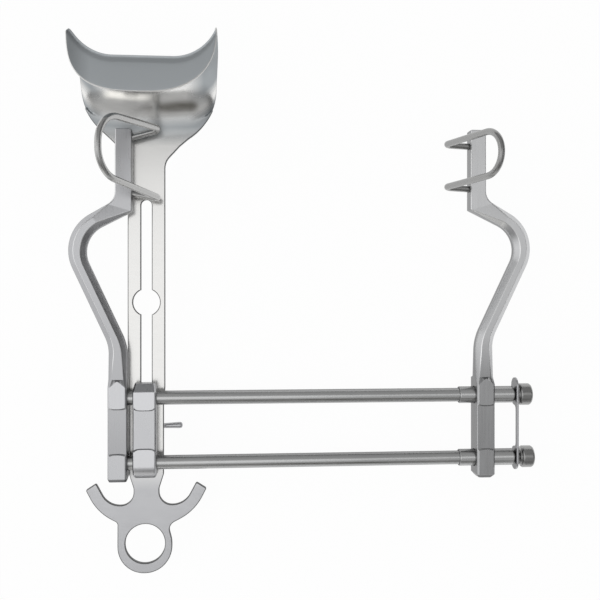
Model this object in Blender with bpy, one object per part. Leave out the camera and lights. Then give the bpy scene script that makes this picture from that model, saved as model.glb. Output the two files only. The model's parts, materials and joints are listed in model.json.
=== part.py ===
"""Abdominal retractor with two wire side blades and a solid centre blade.

Sizes are in millimetres and are turned into metres where a mesh is made. The
origin is the middle of the fixed arm's back face, halfway between the two rods.
+X runs along the rods, +Y runs up the arms and +Z is the side the blades are on.
"""

import math

import bmesh
import bpy
import numpy as np
from mathutils import Matrix, Vector

MM = 0.001

# Clearances
GAP = 0.3
RUNNING_GAP = 0.2

# Rods
ROD_DIAMETER = 7.6
ROD_SPACING = 35.0
ROD_HEIGHT = 7.0
ROD_PAST_SLEEVE = 0.8
TAPPED_DEPTH = 12.0

# Blocks at the foot of each arm
BLOCK_WIDTH = 10.2
BLOCK_TOP_REACH = 9.5
BLOCK_FOOT_REACHES = (9.5, 10.5)
BLOCK_BOSS = 10.4
BLOCK_RELIEF = 0.9
BLOCK_EDGE = 0.7
BLOCK_BACK_EDGE = 1.3
BLOCK_END_BEVEL = 1.9
BLOCK_END_INSETS = (0.5, 1.5)
BLOCK_SHOULDER = 1.8

# Arms, with a width at the root, along each straight stretch and at the flat end
ARM_WIDTHS = (10.2, 9.2, 9.2, 8.9)
ARM_THICKNESS = 9.6
ARM_FACET = 3.1
ARM_ROOT_FACET = 1.8
ARM_END_THICKNESS = 8.0
ARM_END_EDGE = 0.45
ARM_BEND_RADII = (31.0, 21.0)
ARM_CREST_RADII = (15.2, 22.6)
ARM_ELBOW_RADII = (0.5, 8.0)
ARM_SPREAD = 201.2

# Corners of each arm's middle line: the bend's height, the crest's reach and height, the
# elbow's height, the tip's height and how far the flat end is set inwards
FIXED_ARM_FORM = (46.0, 27.4, 104.9, 121.1, 162.4, 2.9)
SLIDING_ARM_FORM = (48.5, 27.9, 107.0, 123.5, 165.0, 3.55)

# Wire side blades
WIRE_DIAMETER = 3.5
WIRE_RISE = 44.0
WIRE_TIP_BEND = 2.6
WIRE_SEAT_DEPTH = 4.0

# Corners of each wire, as drops below its arm's tip: the lower and upper seat, the lower and
# upper tip, the lower and upper end of the crown. Then the tips' reach inwards and the
# crown's reach outwards
FIXED_WIRE_FORM = (34.7, 3.9, 37.3, -0.6, 29.3, -0.6, 23.1, 4.9)
SLIDING_WIRE_FORM = (32.6, 8.8, 31.8, 8.1, 29.4, 6.4, 22.0, -3.5)

# Carriage and clamp
CARRIAGE_X = 14.3
CARRIAGE_WIDTH = 12.6
CARRIAGE_END_REACH = 7.9
CARRIAGE_UPPER_BOSS = 11.5
CARRIAGE_LOWER_BOSS = 9.6
CARRIAGE_RELIEF = 0.9
CARRIAGE_EDGE = 0.8
CARRIAGE_TOP_BEVEL = 4.3
CARRIAGE_FOOT_ROUNDING = 7.0
CARRIAGE_END_DROP = 4.6
STUD_DIAMETER = 5.0
STUD_DEPTH = 9.0
WASHER_DIAMETER = 13.2
WASHER_THICKNESS = 1.2
NUT_DIAMETER = 13.4
NUT_HEIGHT = 5.0
LEVER_DIAMETER = 2.6
LEVER_TIP_DIAMETER = 3.4
LEVER_LENGTH = 19.4
LEVER_ANGLE = 1.4
LEVER_SEAT_DEPTH = 2.6

# Shank and handle of the centre blade
SHANK_WIDTH = 20.4
SHANK_THICKNESS = 3.1
SHANK_EDGE = 0.6
SHANK_FOOT = -25.6
SHANK_FOOT_RADIUS = 6.0
SHANK_NARROWING = 0.75
SHANK_NARROW_TOP = 22.0
SHANK_NARROW_LENGTH = 8.0
SLOT_WIDTH = 5.8
SLOT_BELOW_FLARE = 22.8
SLOT_BOTTOM = -21.0
KEYHOLE_DIAMETER = 14.7
KEYHOLE_HEIGHT = 69.2
NECK_WIDTH = 14.0
NECK_HEIGHT = -33.2
NECK_RADIUS = 5.0
BIGHT_BOTTOM = -42.3
BIGHT_RADIUS = 7.1
BIGHT_OUTER_RADIUS = 11.0
HORN_INNER_TIP = (27.3, -30.1)
HORN_OUTER_TIP = (32.9, -33.7)
HORN_BACK = (26.5, -46.1)
HORN_BACK_RADIUS = 28.0
HORN_SLANT = 0.54
RIGHT_WAIST = (11.9, -53.7, 4.5)
LEFT_WAIST = (15.7, -51.9, 2.2)
RING_DIAMETER = 29.8
RING_SHIFT = -0.85
RING_HEIGHT = -65.0
RING_HOLE_DIAMETER = 21.6
RING_HOLE_CENTRE = (-0.7, -63.6)

# Blade of the centre blade
BLADE_SHIFT = 1.6
BLADE_WIDTH = 73.0
BLADE_SPREADS = (-0.4, 0.7)
BLADE_BULGES = (0.4, 1.0)
BLADE_ROOT_THICKNESS = 3.0
BLADE_LIP_THICKNESS = 1.9
BLADE_TIP_THINNING = 0.7
BLADE_OVERLAP = 7.5
FLARE_DEPTH = 32.7
FLARE_SETBACK = 5.0
FLARE_JOIN = 10.5
FLARE_FILLET = 9.0
FLARE_SLOPE = 1.1
WALL_FRONT = 191.0
WALL_BEND_RADIUS = 29.0
WALL_HEIGHT = 49.2
WALL_FLAT_LOW = 21.0
WALL_FLAT_HIGH = 12.0
WALL_CORNER_LOW = 17.0
WALL_CORNER_HIGH = 27.2
LIP_BEND_RADIUS = 4.0
LIP_WIDTH = 17.9
LIP_DEPTH = 31.2
LIP_CURVE = 2.4
LEAST_LIP = 4.2
HORN_TOPS = (205.2, 206.5)

# Sleeves, end link and thumb screws
SLEEVE_DIAMETER = 9.3
SLEEVE_INNER_REACH = 13.9
SLEEVE_OUTER_REACH = 16.9
LINK_THICKNESS = 1.2
LINK_TOP = 26.9
LINK_BOTTOM = -24.6
LINK_HALF_DEPTH = 4.9
LINK_BAR_DEPTH = 2.4
LINK_EYE_RADIUS = 6.0
LINK_EDGE = 0.25
SCREW_SHANK_DIAMETER = 4.4
SCREW_COLLAR_DIAMETER = 8.6
SCREW_COLLAR_LENGTH = 1.0
SCREW_HEAD_DIAMETER = 12.1
SCREW_HEAD_LENGTH = 6.9
SCREW_BEVEL = 1.0
LOWER_SCREW_OUT = 1.2

# Fineness of the faceted surfaces
ROUND_SIDES = 32
WIRE_SIDES = 12
BLADE_COLUMNS = 40
ARM_STEPS = 9
ARC_ROOM = 0.985
LEAST_SWEEP = 0.001

BLOCK_HALF_DEPTH = ROD_HEIGHT
BLOCK_TOP = ROD_SPACING / 2 + BLOCK_TOP_REACH
CARRIAGE_LENGTH = ROD_SPACING + 2 * CARRIAGE_END_REACH
ROD_END_X = ARM_SPREAD + SLEEVE_OUTER_REACH + ROD_PAST_SLEEVE
ROD_RADIUS = ROD_DIAMETER / 2
ROD_START_X = GAP - BLOCK_WIDTH / 2
LINK_X = ROD_END_X + GAP
FLARE_TOP = WALL_FRONT - FLARE_SETBACK
LIP_FRONT = WALL_FRONT - LIP_WIDTH
SLOT_TOP = FLARE_TOP - FLARE_DEPTH - SLOT_BELOW_FLARE
SHANK_TOP_Z = -GAP
SHANK_BACK_Z = SHANK_TOP_Z - SHANK_THICKNESS
WASHER_TOP_Z = SHANK_BACK_Z - GAP
NUT_TOP_Z = WASHER_TOP_Z - WASHER_THICKNESS - GAP
NUT_BACK_Z = NUT_TOP_Z - NUT_HEIGHT
FULL_TURN = 2 * math.pi
RIGHT_ANGLE = math.pi / 2


# Scene, materials and objects


def clear_scene():
    """Remove whatever the scene holds."""
    for item in list(bpy.data.objects):
        bpy.data.objects.remove(item, do_unlink=True)


def steel(name, colour, roughness):
    """Return a stainless steel material of the given colour."""
    material = bpy.data.materials.new(name)
    material.use_nodes = True
    shader = material.node_tree.nodes["Principled BSDF"]
    shader.inputs["Base Color"].default_value = (*colour, 1.0)
    shader.inputs["Metallic"].default_value = 1.0
    shader.inputs["Roughness"].default_value = roughness
    return material


def add_object(name, mesh_data, material=None, at=(0, 0, 0), parent=None, smooth_angle=30):
    """Turn a bmesh into a named object and free the bmesh."""
    mesh = bpy.data.meshes.new(name)
    bmesh.ops.recalc_face_normals(mesh_data, faces=mesh_data.faces)
    mesh_data.to_mesh(mesh)
    mesh_data.free()
    mesh.shade_smooth()
    mesh.set_sharp_from_angle(angle=math.radians(smooth_angle))
    item = bpy.data.objects.new(name, mesh)
    bpy.context.scene.collection.objects.link(item)
    item.location = Vector(at) * MM
    item.parent = parent
    if material:
        mesh.materials.append(material)
    return item


def boolean(target, tool, operation):
    """Cut or join a tool object, which stays out of the finished model."""
    tool.parent = target
    tool.hide_render = True
    tool.display_type = "WIRE"
    modifier = target.modifiers.new(tool.name, "BOOLEAN")
    modifier.operation = operation
    modifier.solver = "EXACT"
    modifier.object = tool


# Paths and outlines


def rounded_path(corners, steps=8):
    """Return points along a path whose corners, (x, y[, z], radius), become arcs.

    An arc is made smaller where it would run into the one beside it.
    """
    places = [Vector((*corner[:-1], 0.0)[:3]) for corner in corners]
    reaches = [0.0] * len(corners)
    for index in range(1, len(corners) - 1):
        here = places[index]
        half_angle = (places[index - 1] - here).angle(places[index + 1] - here) / 2
        reaches[index] = corners[index][-1] / math.tan(half_angle)
    shares = [1.0] * len(corners)
    for index in range(len(corners) - 1):
        length = (places[index + 1] - places[index]).length
        wanted = reaches[index] + reaches[index + 1]
        share = min(1.0, ARC_ROOM * length / max(wanted, 1e-9))
        shares[index] = min(shares[index], share)
        shares[index + 1] = min(shares[index + 1], share)
    points = [places[0]]
    for index in range(1, len(corners) - 1):
        here = places[index]
        back = (places[index - 1] - here).normalized()
        ahead = (places[index + 1] - here).normalized()
        half_angle = back.angle(ahead) / 2
        reach = reaches[index] * shares[index]
        radius = reach * math.tan(half_angle)
        centre = here + (back + ahead).normalized() * radius / math.sin(half_angle)
        start = here + back * reach - centre
        end = here + ahead * reach - centre
        sweep = start.angle(end)
        if sweep < LEAST_SWEEP:
            points.append(here)
            continue
        for step in range(steps + 1):
            share = step / steps
            spoke = start * math.sin((1 - share) * sweep) + end * math.sin(share * sweep)
            points.append(centre + spoke / math.sin(sweep))
    points.append(places[-1])
    return points


def circle(centre, radius, sides=ROUND_SIDES):
    """Return the points of a circle in the XY plane, anticlockwise."""
    turns = [FULL_TURN * index / sides for index in range(sides)]
    return [
        Vector((centre[0] + radius * math.cos(a), centre[1] + radius * math.sin(a), 0))
        for a in turns
    ]


def mirrored_outline(half):
    """Close an outline from its +X half, which runs from the top to the bottom centre."""
    other = [Vector((-p.x, p.y, p.z)) for p in reversed(half) if abs(p.x) > 1e-6]
    return half + other


# Solids


def skin_rings(rings, closed_ends=True):
    """Return a bmesh whose faces join rings of equally many points, in millimetres."""
    shape = bmesh.new()
    rows = [[shape.verts.new(Vector(point) * MM) for point in ring] for ring in rings]
    count = len(rows[0])
    for row, following in zip(rows, rows[1:]):
        for index in range(count):
            after = (index + 1) % count
            shape.faces.new((row[index], row[after], following[after], following[index]))
    if closed_ends:
        shape.faces.new(rows[0])
        shape.faces.new(rows[-1])
    return shape


def turned_solid(profile, sides=ROUND_SIDES):
    """Spin a profile of (distance along X, radius) points about the X axis."""
    shape = bmesh.new()
    points = [shape.verts.new(Vector((x, radius, 0)) * MM) for x, radius in profile]
    edges = [shape.edges.new(pair) for pair in zip(points, points[1:])]
    closed = profile[0][1] > 0
    if closed:
        edges.append(shape.edges.new((points[-1], points[0])))
    bmesh.ops.spin(
        shape,
        geom=points + edges,
        cent=(0, 0, 0),
        axis=(1, 0, 0),
        angle=FULL_TURN,
        steps=sides,
        use_merge=True,
    )
    bmesh.ops.remove_doubles(shape, verts=shape.verts, dist=1e-7)
    return shape


def turned_about_z(profile, sides=ROUND_SIDES):
    """Spin a profile of (height, radius) points about the Z axis."""
    shape = turned_solid(profile, sides)
    bmesh.ops.rotate(shape, verts=shape.verts, matrix=Matrix.Rotation(-RIGHT_ANGLE, 3, "Y"))
    return shape


def round_bar(path, radius, sides=WIRE_SIDES):
    """Carry a circle along a path of points, without twisting it."""
    rings = []
    side = None
    for index, point in enumerate(path):
        before = path[max(index - 1, 0)]
        after = path[min(index + 1, len(path) - 1)]
        ahead = (after - before).normalized()
        if side is None:
            side = ahead.orthogonal()
        side = (side - ahead * side.dot(ahead)).normalized()
        other = ahead.cross(side)
        turns = [FULL_TURN * step / sides for step in range(sides)]
        rings.append([point + (side * math.cos(a) + other * math.sin(a)) * radius for a in turns])
    return skin_rings(rings)


def inset_outline(outline, distance):
    """Move a closed outline inwards, or outwards where the distance is negative."""
    area = sum(a.x * b.y - a.y * b.x for a, b in zip(outline, outline[1:] + outline[:1]))
    inwards = 1 if area > 0 else -1
    moved = []
    for index, point in enumerate(outline):
        before = (point - outline[index - 1]).normalized()
        after = (outline[(index + 1) % len(outline)] - point).normalized()
        first = Vector((-before.y, before.x, 0))
        second = Vector((-after.y, after.x, 0))
        mitre = (first + second) / (1 + first.dot(second))
        moved.append(point + mitre * distance * inwards)
    return moved


def plate(outline, thickness, edge):
    """Return a flat plate of an outline, from zero up to its thickness, with bevelled rims."""
    levels = ((0, edge), (edge, 0), (thickness - edge, 0), (thickness, edge))
    return stacked_outline(outline, levels)


def plate_hole(outline, thickness, edge):
    """Return the cutter for a hole through a plate, with bevelled rims."""
    levels = (
        (-1, -edge),
        (0, -edge),
        (edge, 0),
        (thickness - edge, 0),
        (thickness, -edge),
        (thickness + 1, -edge),
    )
    return stacked_outline(outline, levels)


def stacked_outline(outline, levels):
    """Join copies of an outline, each at a height and inset by a distance, into a solid."""
    rings = []
    for height, inset in levels:
        moved = inset_outline(outline, inset)
        rings.append([Vector((point.x, point.y, height)) for point in moved])
    return skin_rings(rings)


def faceted_section(left, right, front, back, facet, back_facet=None):
    """Return an eight-sided section that spans two points, with its corners cut by a facet."""
    across = (right - left).normalized()
    back_facet = back_facet or facet
    corners = (
        (left, back + back_facet),
        (left + across * back_facet, back),
        (right - across * back_facet, back),
        (right, back + back_facet),
        (right, front - facet),
        (right - across * facet, front),
        (left + across * facet, front),
        (left, front - facet),
    )
    return [Vector((place.x, place.y, height)) for place, height in corners]


# Arms


def offset_corners(corners, half_widths, side):
    """Shift each stretch of a path sideways and return where the shifted stretches meet."""
    lines = []
    for start, end, half_width in zip(corners, corners[1:], half_widths):
        along = (end - start).normalized()
        normal = Vector((along.y, -along.x, 0)) * side * half_width
        lines.append((start + normal, end + normal, along))
    places = [lines[0][0]]
    for (a, _, along_a), (b, _, along_b) in zip(lines, lines[1:]):
        between = b - a
        cross = along_a.x * along_b.y - along_a.y * along_b.x
        reach = (between.x * along_b.y - between.y * along_b.x) / cross
        places.append(a + along_a * reach)
    places.append(lines[-1][1])
    return places


def block_sections(half_width, foot, end_inset):
    """Return the sections of an arm's block, from its foot to the neck under the arm."""
    boss = ROD_SPACING / 2 - BLOCK_BOSS / 2
    step = 0.6
    depth = BLOCK_HALF_DEPTH
    low = depth - BLOCK_RELIEF
    stations = (
        (foot, half_width - end_inset, depth - BLOCK_END_BEVEL, BLOCK_EDGE),
        (foot + BLOCK_END_BEVEL, half_width, depth, BLOCK_EDGE),
        (-boss, half_width, depth, BLOCK_EDGE),
        (-boss + step, half_width, low, BLOCK_EDGE),
        (boss - step, half_width, low, BLOCK_EDGE),
        (boss, half_width, depth, BLOCK_EDGE),
        (BLOCK_TOP - BLOCK_SHOULDER, half_width, depth, BLOCK_EDGE),
    )
    sections = []
    for height, reach, front, facet in stations:
        left = Vector((-reach, height, 0))
        right = Vector((reach, height, 0))
        back = -depth + BLOCK_END_BEVEL if height == foot else -depth
        sections.append(faceted_section(left, right, front, back, facet, BLOCK_BACK_EDGE))
    return sections


def arm_sections(side, form):
    """Return the sections of the arm from the block's neck over the crest to its flat end."""
    bend_height, crest_reach, crest_height, elbow_height, tip_height, end_shift = form
    corners = [
        Vector((0, BLOCK_TOP + BLOCK_EDGE, 0)),
        Vector((0, bend_height, 0)),
        Vector((side * crest_reach, crest_height, 0)),
        Vector((-side * end_shift, elbow_height, 0)),
        Vector((-side * end_shift, tip_height, 0)),
    ]
    half_widths = [width / 2 for width in ARM_WIDTHS]
    edges = []
    for way in (-1, 1):
        outer = int(way == side)
        radii = (ARM_BEND_RADII[outer], ARM_CREST_RADII[outer], ARM_ELBOW_RADII[outer])
        places = offset_corners(corners, half_widths, way)
        path = [(*places[0], 0.0)]
        path += [(*place, radius) for place, radius in zip(places[1:-1], radii)]
        path.append((*places[-1], 0.0))
        edges.append(rounded_path(path, ARM_STEPS))
    left_edge, right_edge = edges
    bend_end = 1 + (ARM_STEPS + 1)
    crest_end = bend_end + (ARM_STEPS + 1)
    rest = len(left_edge) - crest_end
    thick = [ARM_THICKNESS / 2] * crest_end + [ARM_END_THICKNESS / 2] * rest
    facets = [ARM_ROOT_FACET] + [ARM_FACET] * (crest_end - 1) + [ARM_END_EDGE] * rest
    sections = [
        faceted_section(left, right, half, -half, facet)
        for left, right, half, facet in zip(left_edge, right_edge, thick, facets)
    ]
    tip = sections[-1]
    centre = sum(tip, Vector()) / len(tip)
    cap = [centre + (point - centre) * (1 - ARM_END_EDGE / half_widths[-1]) for point in tip]
    lowered = Vector((0, -ARM_END_EDGE, 0))
    sections[-1] = [point + lowered for point in tip]
    sections.append(cap)
    return sections


def build_arm(name, side, form, wire_form, at, material):
    """Build one arm with its block, its rod holes and the seats of its wire blade."""
    moving = int(side > 0)
    foot = -ROD_SPACING / 2 - BLOCK_FOOT_REACHES[moving]
    block = block_sections(BLOCK_WIDTH / 2, foot, BLOCK_END_INSETS[moving])
    sections = block + arm_sections(side, form)
    arm = add_object(name, skin_rings(sections), material, at)
    bore = SLEEVE_DIAMETER / 2 + GAP if side > 0 else ROD_RADIUS + GAP
    reach = BLOCK_WIDTH / 2 + 1
    for label, height in rod_rows():
        cutter = turned_solid([(-reach, 0), (-reach, bore), (reach, bore), (reach, 0)])
        tool = add_object(f"{name}_{label}_bore", cutter, at=(0, height, 0))
        boolean(arm, tool, "DIFFERENCE")
    for label, leg in zip(("lower", "upper"), wire_legs(side, form, wire_form)):
        seat, face, tip = leg
        outside = face + (tip - face).normalized() * 1.5
        cutter = round_bar([seat, outside], WIRE_DIAMETER / 2 + RUNNING_GAP)
        tool = add_object(f"{name}_{label}_wire_seat", cutter)
        boolean(arm, tool, "DIFFERENCE")
    return arm


def rod_rows():
    """Return the label and the height of each rod."""
    return (("upper", ROD_SPACING / 2), ("lower", -ROD_SPACING / 2))


# Wire side blades


def wire_legs(side, arm_form, wire_form):
    """Return, for each leg, the floor of its seat, its place on the arm's face and its tip."""
    arm_tip, end_shift = arm_form[-2:]
    tip_reach = wire_form[6]
    face_x = -side * (end_shift + ARM_WIDTHS[-1] / 2)
    legs = []
    for seat_drop, tip_drop in zip(wire_form[0:2], wire_form[2:4]):
        face = Vector((face_x, arm_tip - seat_drop, 0))
        tip = Vector((-side * tip_reach, arm_tip - tip_drop, 0))
        seat = face - (tip - face).normalized() * WIRE_SEAT_DEPTH
        legs.append((seat, face, tip))
    return legs


def build_wire_blade(name, side, arm_form, wire_form, arm, material):
    """Bend one wire from the arm inwards, back out as it rises, and round the crown."""
    crown_heights = [arm_form[-2] - drop for drop in wire_form[4:6]]
    crown_reach = wire_form[7]
    lower, upper = wire_legs(side, arm_form, wire_form)
    crown_radius = (crown_heights[1] - crown_heights[0]) / 2
    crown = [Vector((side * crown_reach, height, WIRE_RISE)) for height in crown_heights]
    starts = [seat + (tip - seat).normalized() * GAP for seat, _, tip in (lower, upper)]
    corners = [
        (*starts[0], 0.0),
        (*lower[2], WIRE_TIP_BEND),
        (*crown[0], crown_radius),
        (*crown[1], crown_radius),
        (*upper[2], WIRE_TIP_BEND),
        (*starts[1], 0.0),
    ]
    path = rounded_path(corners, steps=9)
    return add_object(name, round_bar(path, WIRE_DIAMETER / 2), material, parent=arm, smooth_angle=60)


# Rods, sleeves, link and screws


def build_rod(name, height, material):
    """Turn one rod, with a tapped hole for its thumb screw in the far end."""
    length = ROD_END_X - ROD_START_X
    hole = SCREW_SHANK_DIAMETER / 2 + GAP
    edge = 0.4
    profile = [
        (0, 0),
        (0, ROD_RADIUS - edge),
        (edge, ROD_RADIUS),
        (length - edge, ROD_RADIUS),
        (length, ROD_RADIUS - edge),
        (length, hole),
        (length - TAPPED_DEPTH, hole),
        (length - TAPPED_DEPTH, 0),
    ]
    return add_object(name, turned_solid(profile), material, (ROD_START_X, height, ROD_HEIGHT))


def build_sleeve(name, height, arm, material):
    """Turn the sleeve that guides the sliding arm along one rod."""
    outer = SLEEVE_DIAMETER / 2
    inner = ROD_RADIUS + RUNNING_GAP
    edge = 0.3
    profile = [
        (-SLEEVE_INNER_REACH, inner),
        (-SLEEVE_INNER_REACH, outer - edge),
        (edge - SLEEVE_INNER_REACH, outer),
        (SLEEVE_OUTER_REACH - edge, outer),
        (SLEEVE_OUTER_REACH, outer - edge),
        (SLEEVE_OUTER_REACH, inner),
    ]
    return add_object(name, turned_solid(profile), material, (0, height, 0), arm)


def build_end_link(material):
    """Cut the thin link that joins the rods' far ends, with its bar along the blade side."""
    reach = LINK_HALF_DEPTH
    bar = reach - LINK_BAR_DEPTH
    upper = ROD_SPACING / 2 - LINK_EYE_RADIUS
    lower = -ROD_SPACING / 2 + LINK_EYE_RADIUS
    corners = [
        (0.0, reach, 0.0),
        (LINK_TOP, reach, reach),
        (LINK_TOP, -reach, reach),
        (upper, -reach, reach),
        (upper, bar, bar),
        (lower, bar, bar),
        (lower, -reach, reach),
        (LINK_BOTTOM, -reach, reach),
        (LINK_BOTTOM, reach, reach),
        (0.0, reach, 0.0),
    ]
    outline = rounded_path(corners)[:-1]
    link = add_object(
        "end_link", plate(outline, LINK_THICKNESS, LINK_EDGE), material, (LINK_X, 0, ROD_HEIGHT)
    )
    link.rotation_euler = (RIGHT_ANGLE, 0, RIGHT_ANGLE)
    for label, height in rod_rows():
        hole = circle((height, 0), SCREW_SHANK_DIAMETER / 2 + GAP, 24)
        cutter = plate_hole(hole, LINK_THICKNESS, LINK_EDGE)
        boolean(link, add_object(f"end_link_{label}_eye", cutter), "DIFFERENCE")
    return link


def build_thumb_screw(name, height, out, material):
    """Turn a thumb screw: shank, collar, and a bevelled head with a shallow groove."""
    start = LINK_X + LINK_THICKNESS + GAP + out
    shank = SCREW_SHANK_DIAMETER / 2
    collar = SCREW_COLLAR_DIAMETER / 2
    head = SCREW_HEAD_DIAMETER / 2
    shank_end = LINK_X - GAP - TAPPED_DEPTH + 2 - start
    top = SCREW_COLLAR_LENGTH + SCREW_HEAD_LENGTH
    profile = [
        (shank_end, 0),
        (shank_end, shank - 0.5),
        (shank_end + 0.5, shank),
        (0, shank),
        (0, collar),
        (SCREW_COLLAR_LENGTH, collar),
        (SCREW_COLLAR_LENGTH, head - SCREW_BEVEL),
        (SCREW_COLLAR_LENGTH + SCREW_BEVEL, head),
        (top - SCREW_BEVEL * 1.3, head),
        (top - SCREW_BEVEL * 0.4, head - SCREW_BEVEL * 0.6),
        (top, head - SCREW_BEVEL * 1.6),
        (top, 0),
    ]
    return add_object(name, turned_solid(profile), material, (start, height, ROD_HEIGHT))


# Carriage and clamp


def build_carriage(material):
    """Build the carriage that slides on the rods, relieved between its two bosses."""
    half = CARRIAGE_LENGTH / 2
    reach = CARRIAGE_WIDTH / 2
    depth = BLOCK_HALF_DEPTH
    low = depth - CARRIAGE_RELIEF
    step = 0.6
    stations = [
        (-half, reach - CARRIAGE_EDGE, depth - CARRIAGE_END_DROP),
        (-half + CARRIAGE_FOOT_ROUNDING * 0.3, reach, depth - CARRIAGE_END_DROP * 0.4),
        (-half + CARRIAGE_FOOT_ROUNDING * 0.65, reach, depth - CARRIAGE_END_DROP * 0.08),
        (-half + CARRIAGE_FOOT_ROUNDING, reach, depth),
        (-CARRIAGE_LOWER_BOSS, reach, depth),
        (-CARRIAGE_LOWER_BOSS + step, reach, low),
        (CARRIAGE_UPPER_BOSS - step, reach, low),
        (CARRIAGE_UPPER_BOSS, reach, depth),
        (half - CARRIAGE_TOP_BEVEL, reach, depth),
        (half, reach - CARRIAGE_EDGE, depth - CARRIAGE_END_DROP),
    ]
    sections = [
        faceted_section(
            Vector((-width, height, 0)), Vector((width, height, 0)), front, -depth, CARRIAGE_EDGE
        )
        for height, width, front in stations
    ]
    carriage = add_object("carriage", skin_rings(sections), material, (CARRIAGE_X, 0, ROD_HEIGHT))
    bore = ROD_RADIUS + RUNNING_GAP
    for label, height in rod_rows():
        cutter = turned_solid([(-reach - 1, 0), (-reach - 1, bore), (reach + 1, bore), (reach + 1, 0)])
        tool = add_object(f"carriage_{label}_bore", cutter, at=(0, height, 0))
        boolean(carriage, tool, "DIFFERENCE")
    hole = STUD_DIAMETER / 2 + GAP
    floor = -depth + STUD_DEPTH + GAP
    cutter = turned_about_z([(-depth - 1, 0), (-depth - 1, hole), (floor, hole), (floor, 0)])
    boolean(carriage, add_object("carriage_stud_hole", cutter), "DIFFERENCE")
    return carriage


def build_clamp(nut_material, pin_material):
    """Build the stud, washer, round nut and pin lever that clamp the shank to the carriage."""
    stud_radius = STUD_DIAMETER / 2
    centre = (CARRIAGE_X, 0, 0)
    foot = NUT_BACK_Z + 0.4
    stud = [
        (foot, 0),
        (foot, stud_radius - 0.4),
        (foot + 0.4, stud_radius),
        (STUD_DEPTH, stud_radius),
        (STUD_DEPTH, 0),
    ]
    add_object("clamp_stud", turned_about_z(stud), pin_material, centre)
    hole = stud_radius + GAP
    rim = WASHER_DIAMETER / 2
    low = WASHER_TOP_Z - WASHER_THICKNESS
    washer = [(low, hole), (low, rim), (WASHER_TOP_Z, rim), (WASHER_TOP_Z, hole)]
    add_object("clamp_washer", turned_about_z(washer), pin_material, centre)
    rim = NUT_DIAMETER / 2
    nut = [
        (0, hole),
        (0, rim - 0.8),
        (0.8, rim),
        (NUT_HEIGHT, rim),
        (NUT_HEIGHT, hole),
    ]
    nut_place = (CARRIAGE_X, 0, NUT_BACK_Z)
    clamp_nut = add_object("clamp_nut", turned_about_z(nut), nut_material, nut_place)
    seat = rim - LEVER_SEAT_DEPTH
    lever_height = NUT_HEIGHT / 2
    bore = LEVER_DIAMETER / 2 + RUNNING_GAP
    cutter = turned_solid([(seat, 0), (seat, bore), (rim + 1, bore), (rim + 1, 0)], 16)
    tool = add_object("clamp_nut_lever_hole", cutter, at=(0, 0, lever_height))
    tool.rotation_euler.z = math.radians(LEVER_ANGLE)
    boolean(clamp_nut, tool, "DIFFERENCE")
    thin = LEVER_DIAMETER / 2
    thick = LEVER_TIP_DIAMETER / 2
    lever = [
        (seat + GAP, 0),
        (seat + GAP, thin),
        (rim + 1, thin),
        (LEVER_LENGTH - 2.2, thick),
        (LEVER_LENGTH - 0.9, thick),
        (LEVER_LENGTH - 0.25, thick * 0.72),
        (LEVER_LENGTH, thick * 0.3),
        (LEVER_LENGTH, 0),
    ]
    pin = add_object("clamp_lever", turned_solid(lever, 16), pin_material, parent=clamp_nut)
    pin.location.z = lever_height * MM
    pin.rotation_euler.z = math.radians(LEVER_ANGLE)


# Centre blade


def flare_height(across):
    """Return the height of the flare's lower edge at a distance from its middle."""
    half = BLADE_WIDTH / 2
    return FLARE_TOP - FLARE_DEPTH * math.sqrt(1 - (across / half) ** 2)


def handle_half(side, waist):
    """Return one side of the shank's outline, from its root down to the ring's foot.

    Distances are measured from the shank's middle line towards that side, 1 or -1.
    """
    shank = SHANK_WIDTH / 2
    narrow = shank - SHANK_NARROWING
    neck = NECK_WIDTH / 2
    ring = RING_DIAMETER / 2
    ring_shift = side * RING_SHIFT
    ring_side = ring_shift + ring
    root = flare_height(0) + BLADE_OVERLAP
    join = shank + FLARE_JOIN
    join_height = flare_height(join - side * BLADE_SHIFT) + 0.25
    bight_turn = HORN_INNER_TIP[0] - (HORN_INNER_TIP[1] - BIGHT_BOTTOM) * HORN_SLANT
    half = [
        (0.0, root, 0.0),
        (shank, root, 1.5),
        (join, join_height, 1.2),
        (shank, join_height - FLARE_SLOPE * (join - shank), FLARE_FILLET),
        (shank, SHANK_NARROW_TOP, SHANK_NARROW_LENGTH),
        (narrow, SHANK_NARROW_TOP - SHANK_NARROW_LENGTH, SHANK_NARROW_LENGTH),
        (narrow, SHANK_FOOT, SHANK_FOOT_RADIUS),
        (neck, NECK_HEIGHT, NECK_RADIUS),
        (neck, BIGHT_BOTTOM, BIGHT_RADIUS),
        (bight_turn, BIGHT_BOTTOM, BIGHT_OUTER_RADIUS),
        (*HORN_INNER_TIP, 0.8),
        (*HORN_OUTER_TIP, 0.8),
        (*HORN_BACK, HORN_BACK_RADIUS),
        waist,
        (ring_side, RING_HEIGHT + ring * 0.2, ring),
        (ring_side, RING_HEIGHT - ring, ring),
        (ring_shift, RING_HEIGHT - ring, 0.0),
    ]
    return rounded_path(half, steps=7)


def handle_outline():
    """Return the outline of the shank with its root, the two finger horns and the ring."""
    right = handle_half(1, RIGHT_WAIST)
    left = handle_half(-1, LEFT_WAIST)
    return right + [Vector((-point.x, point.y, 0)) for point in reversed(left[1:-1])]


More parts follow.
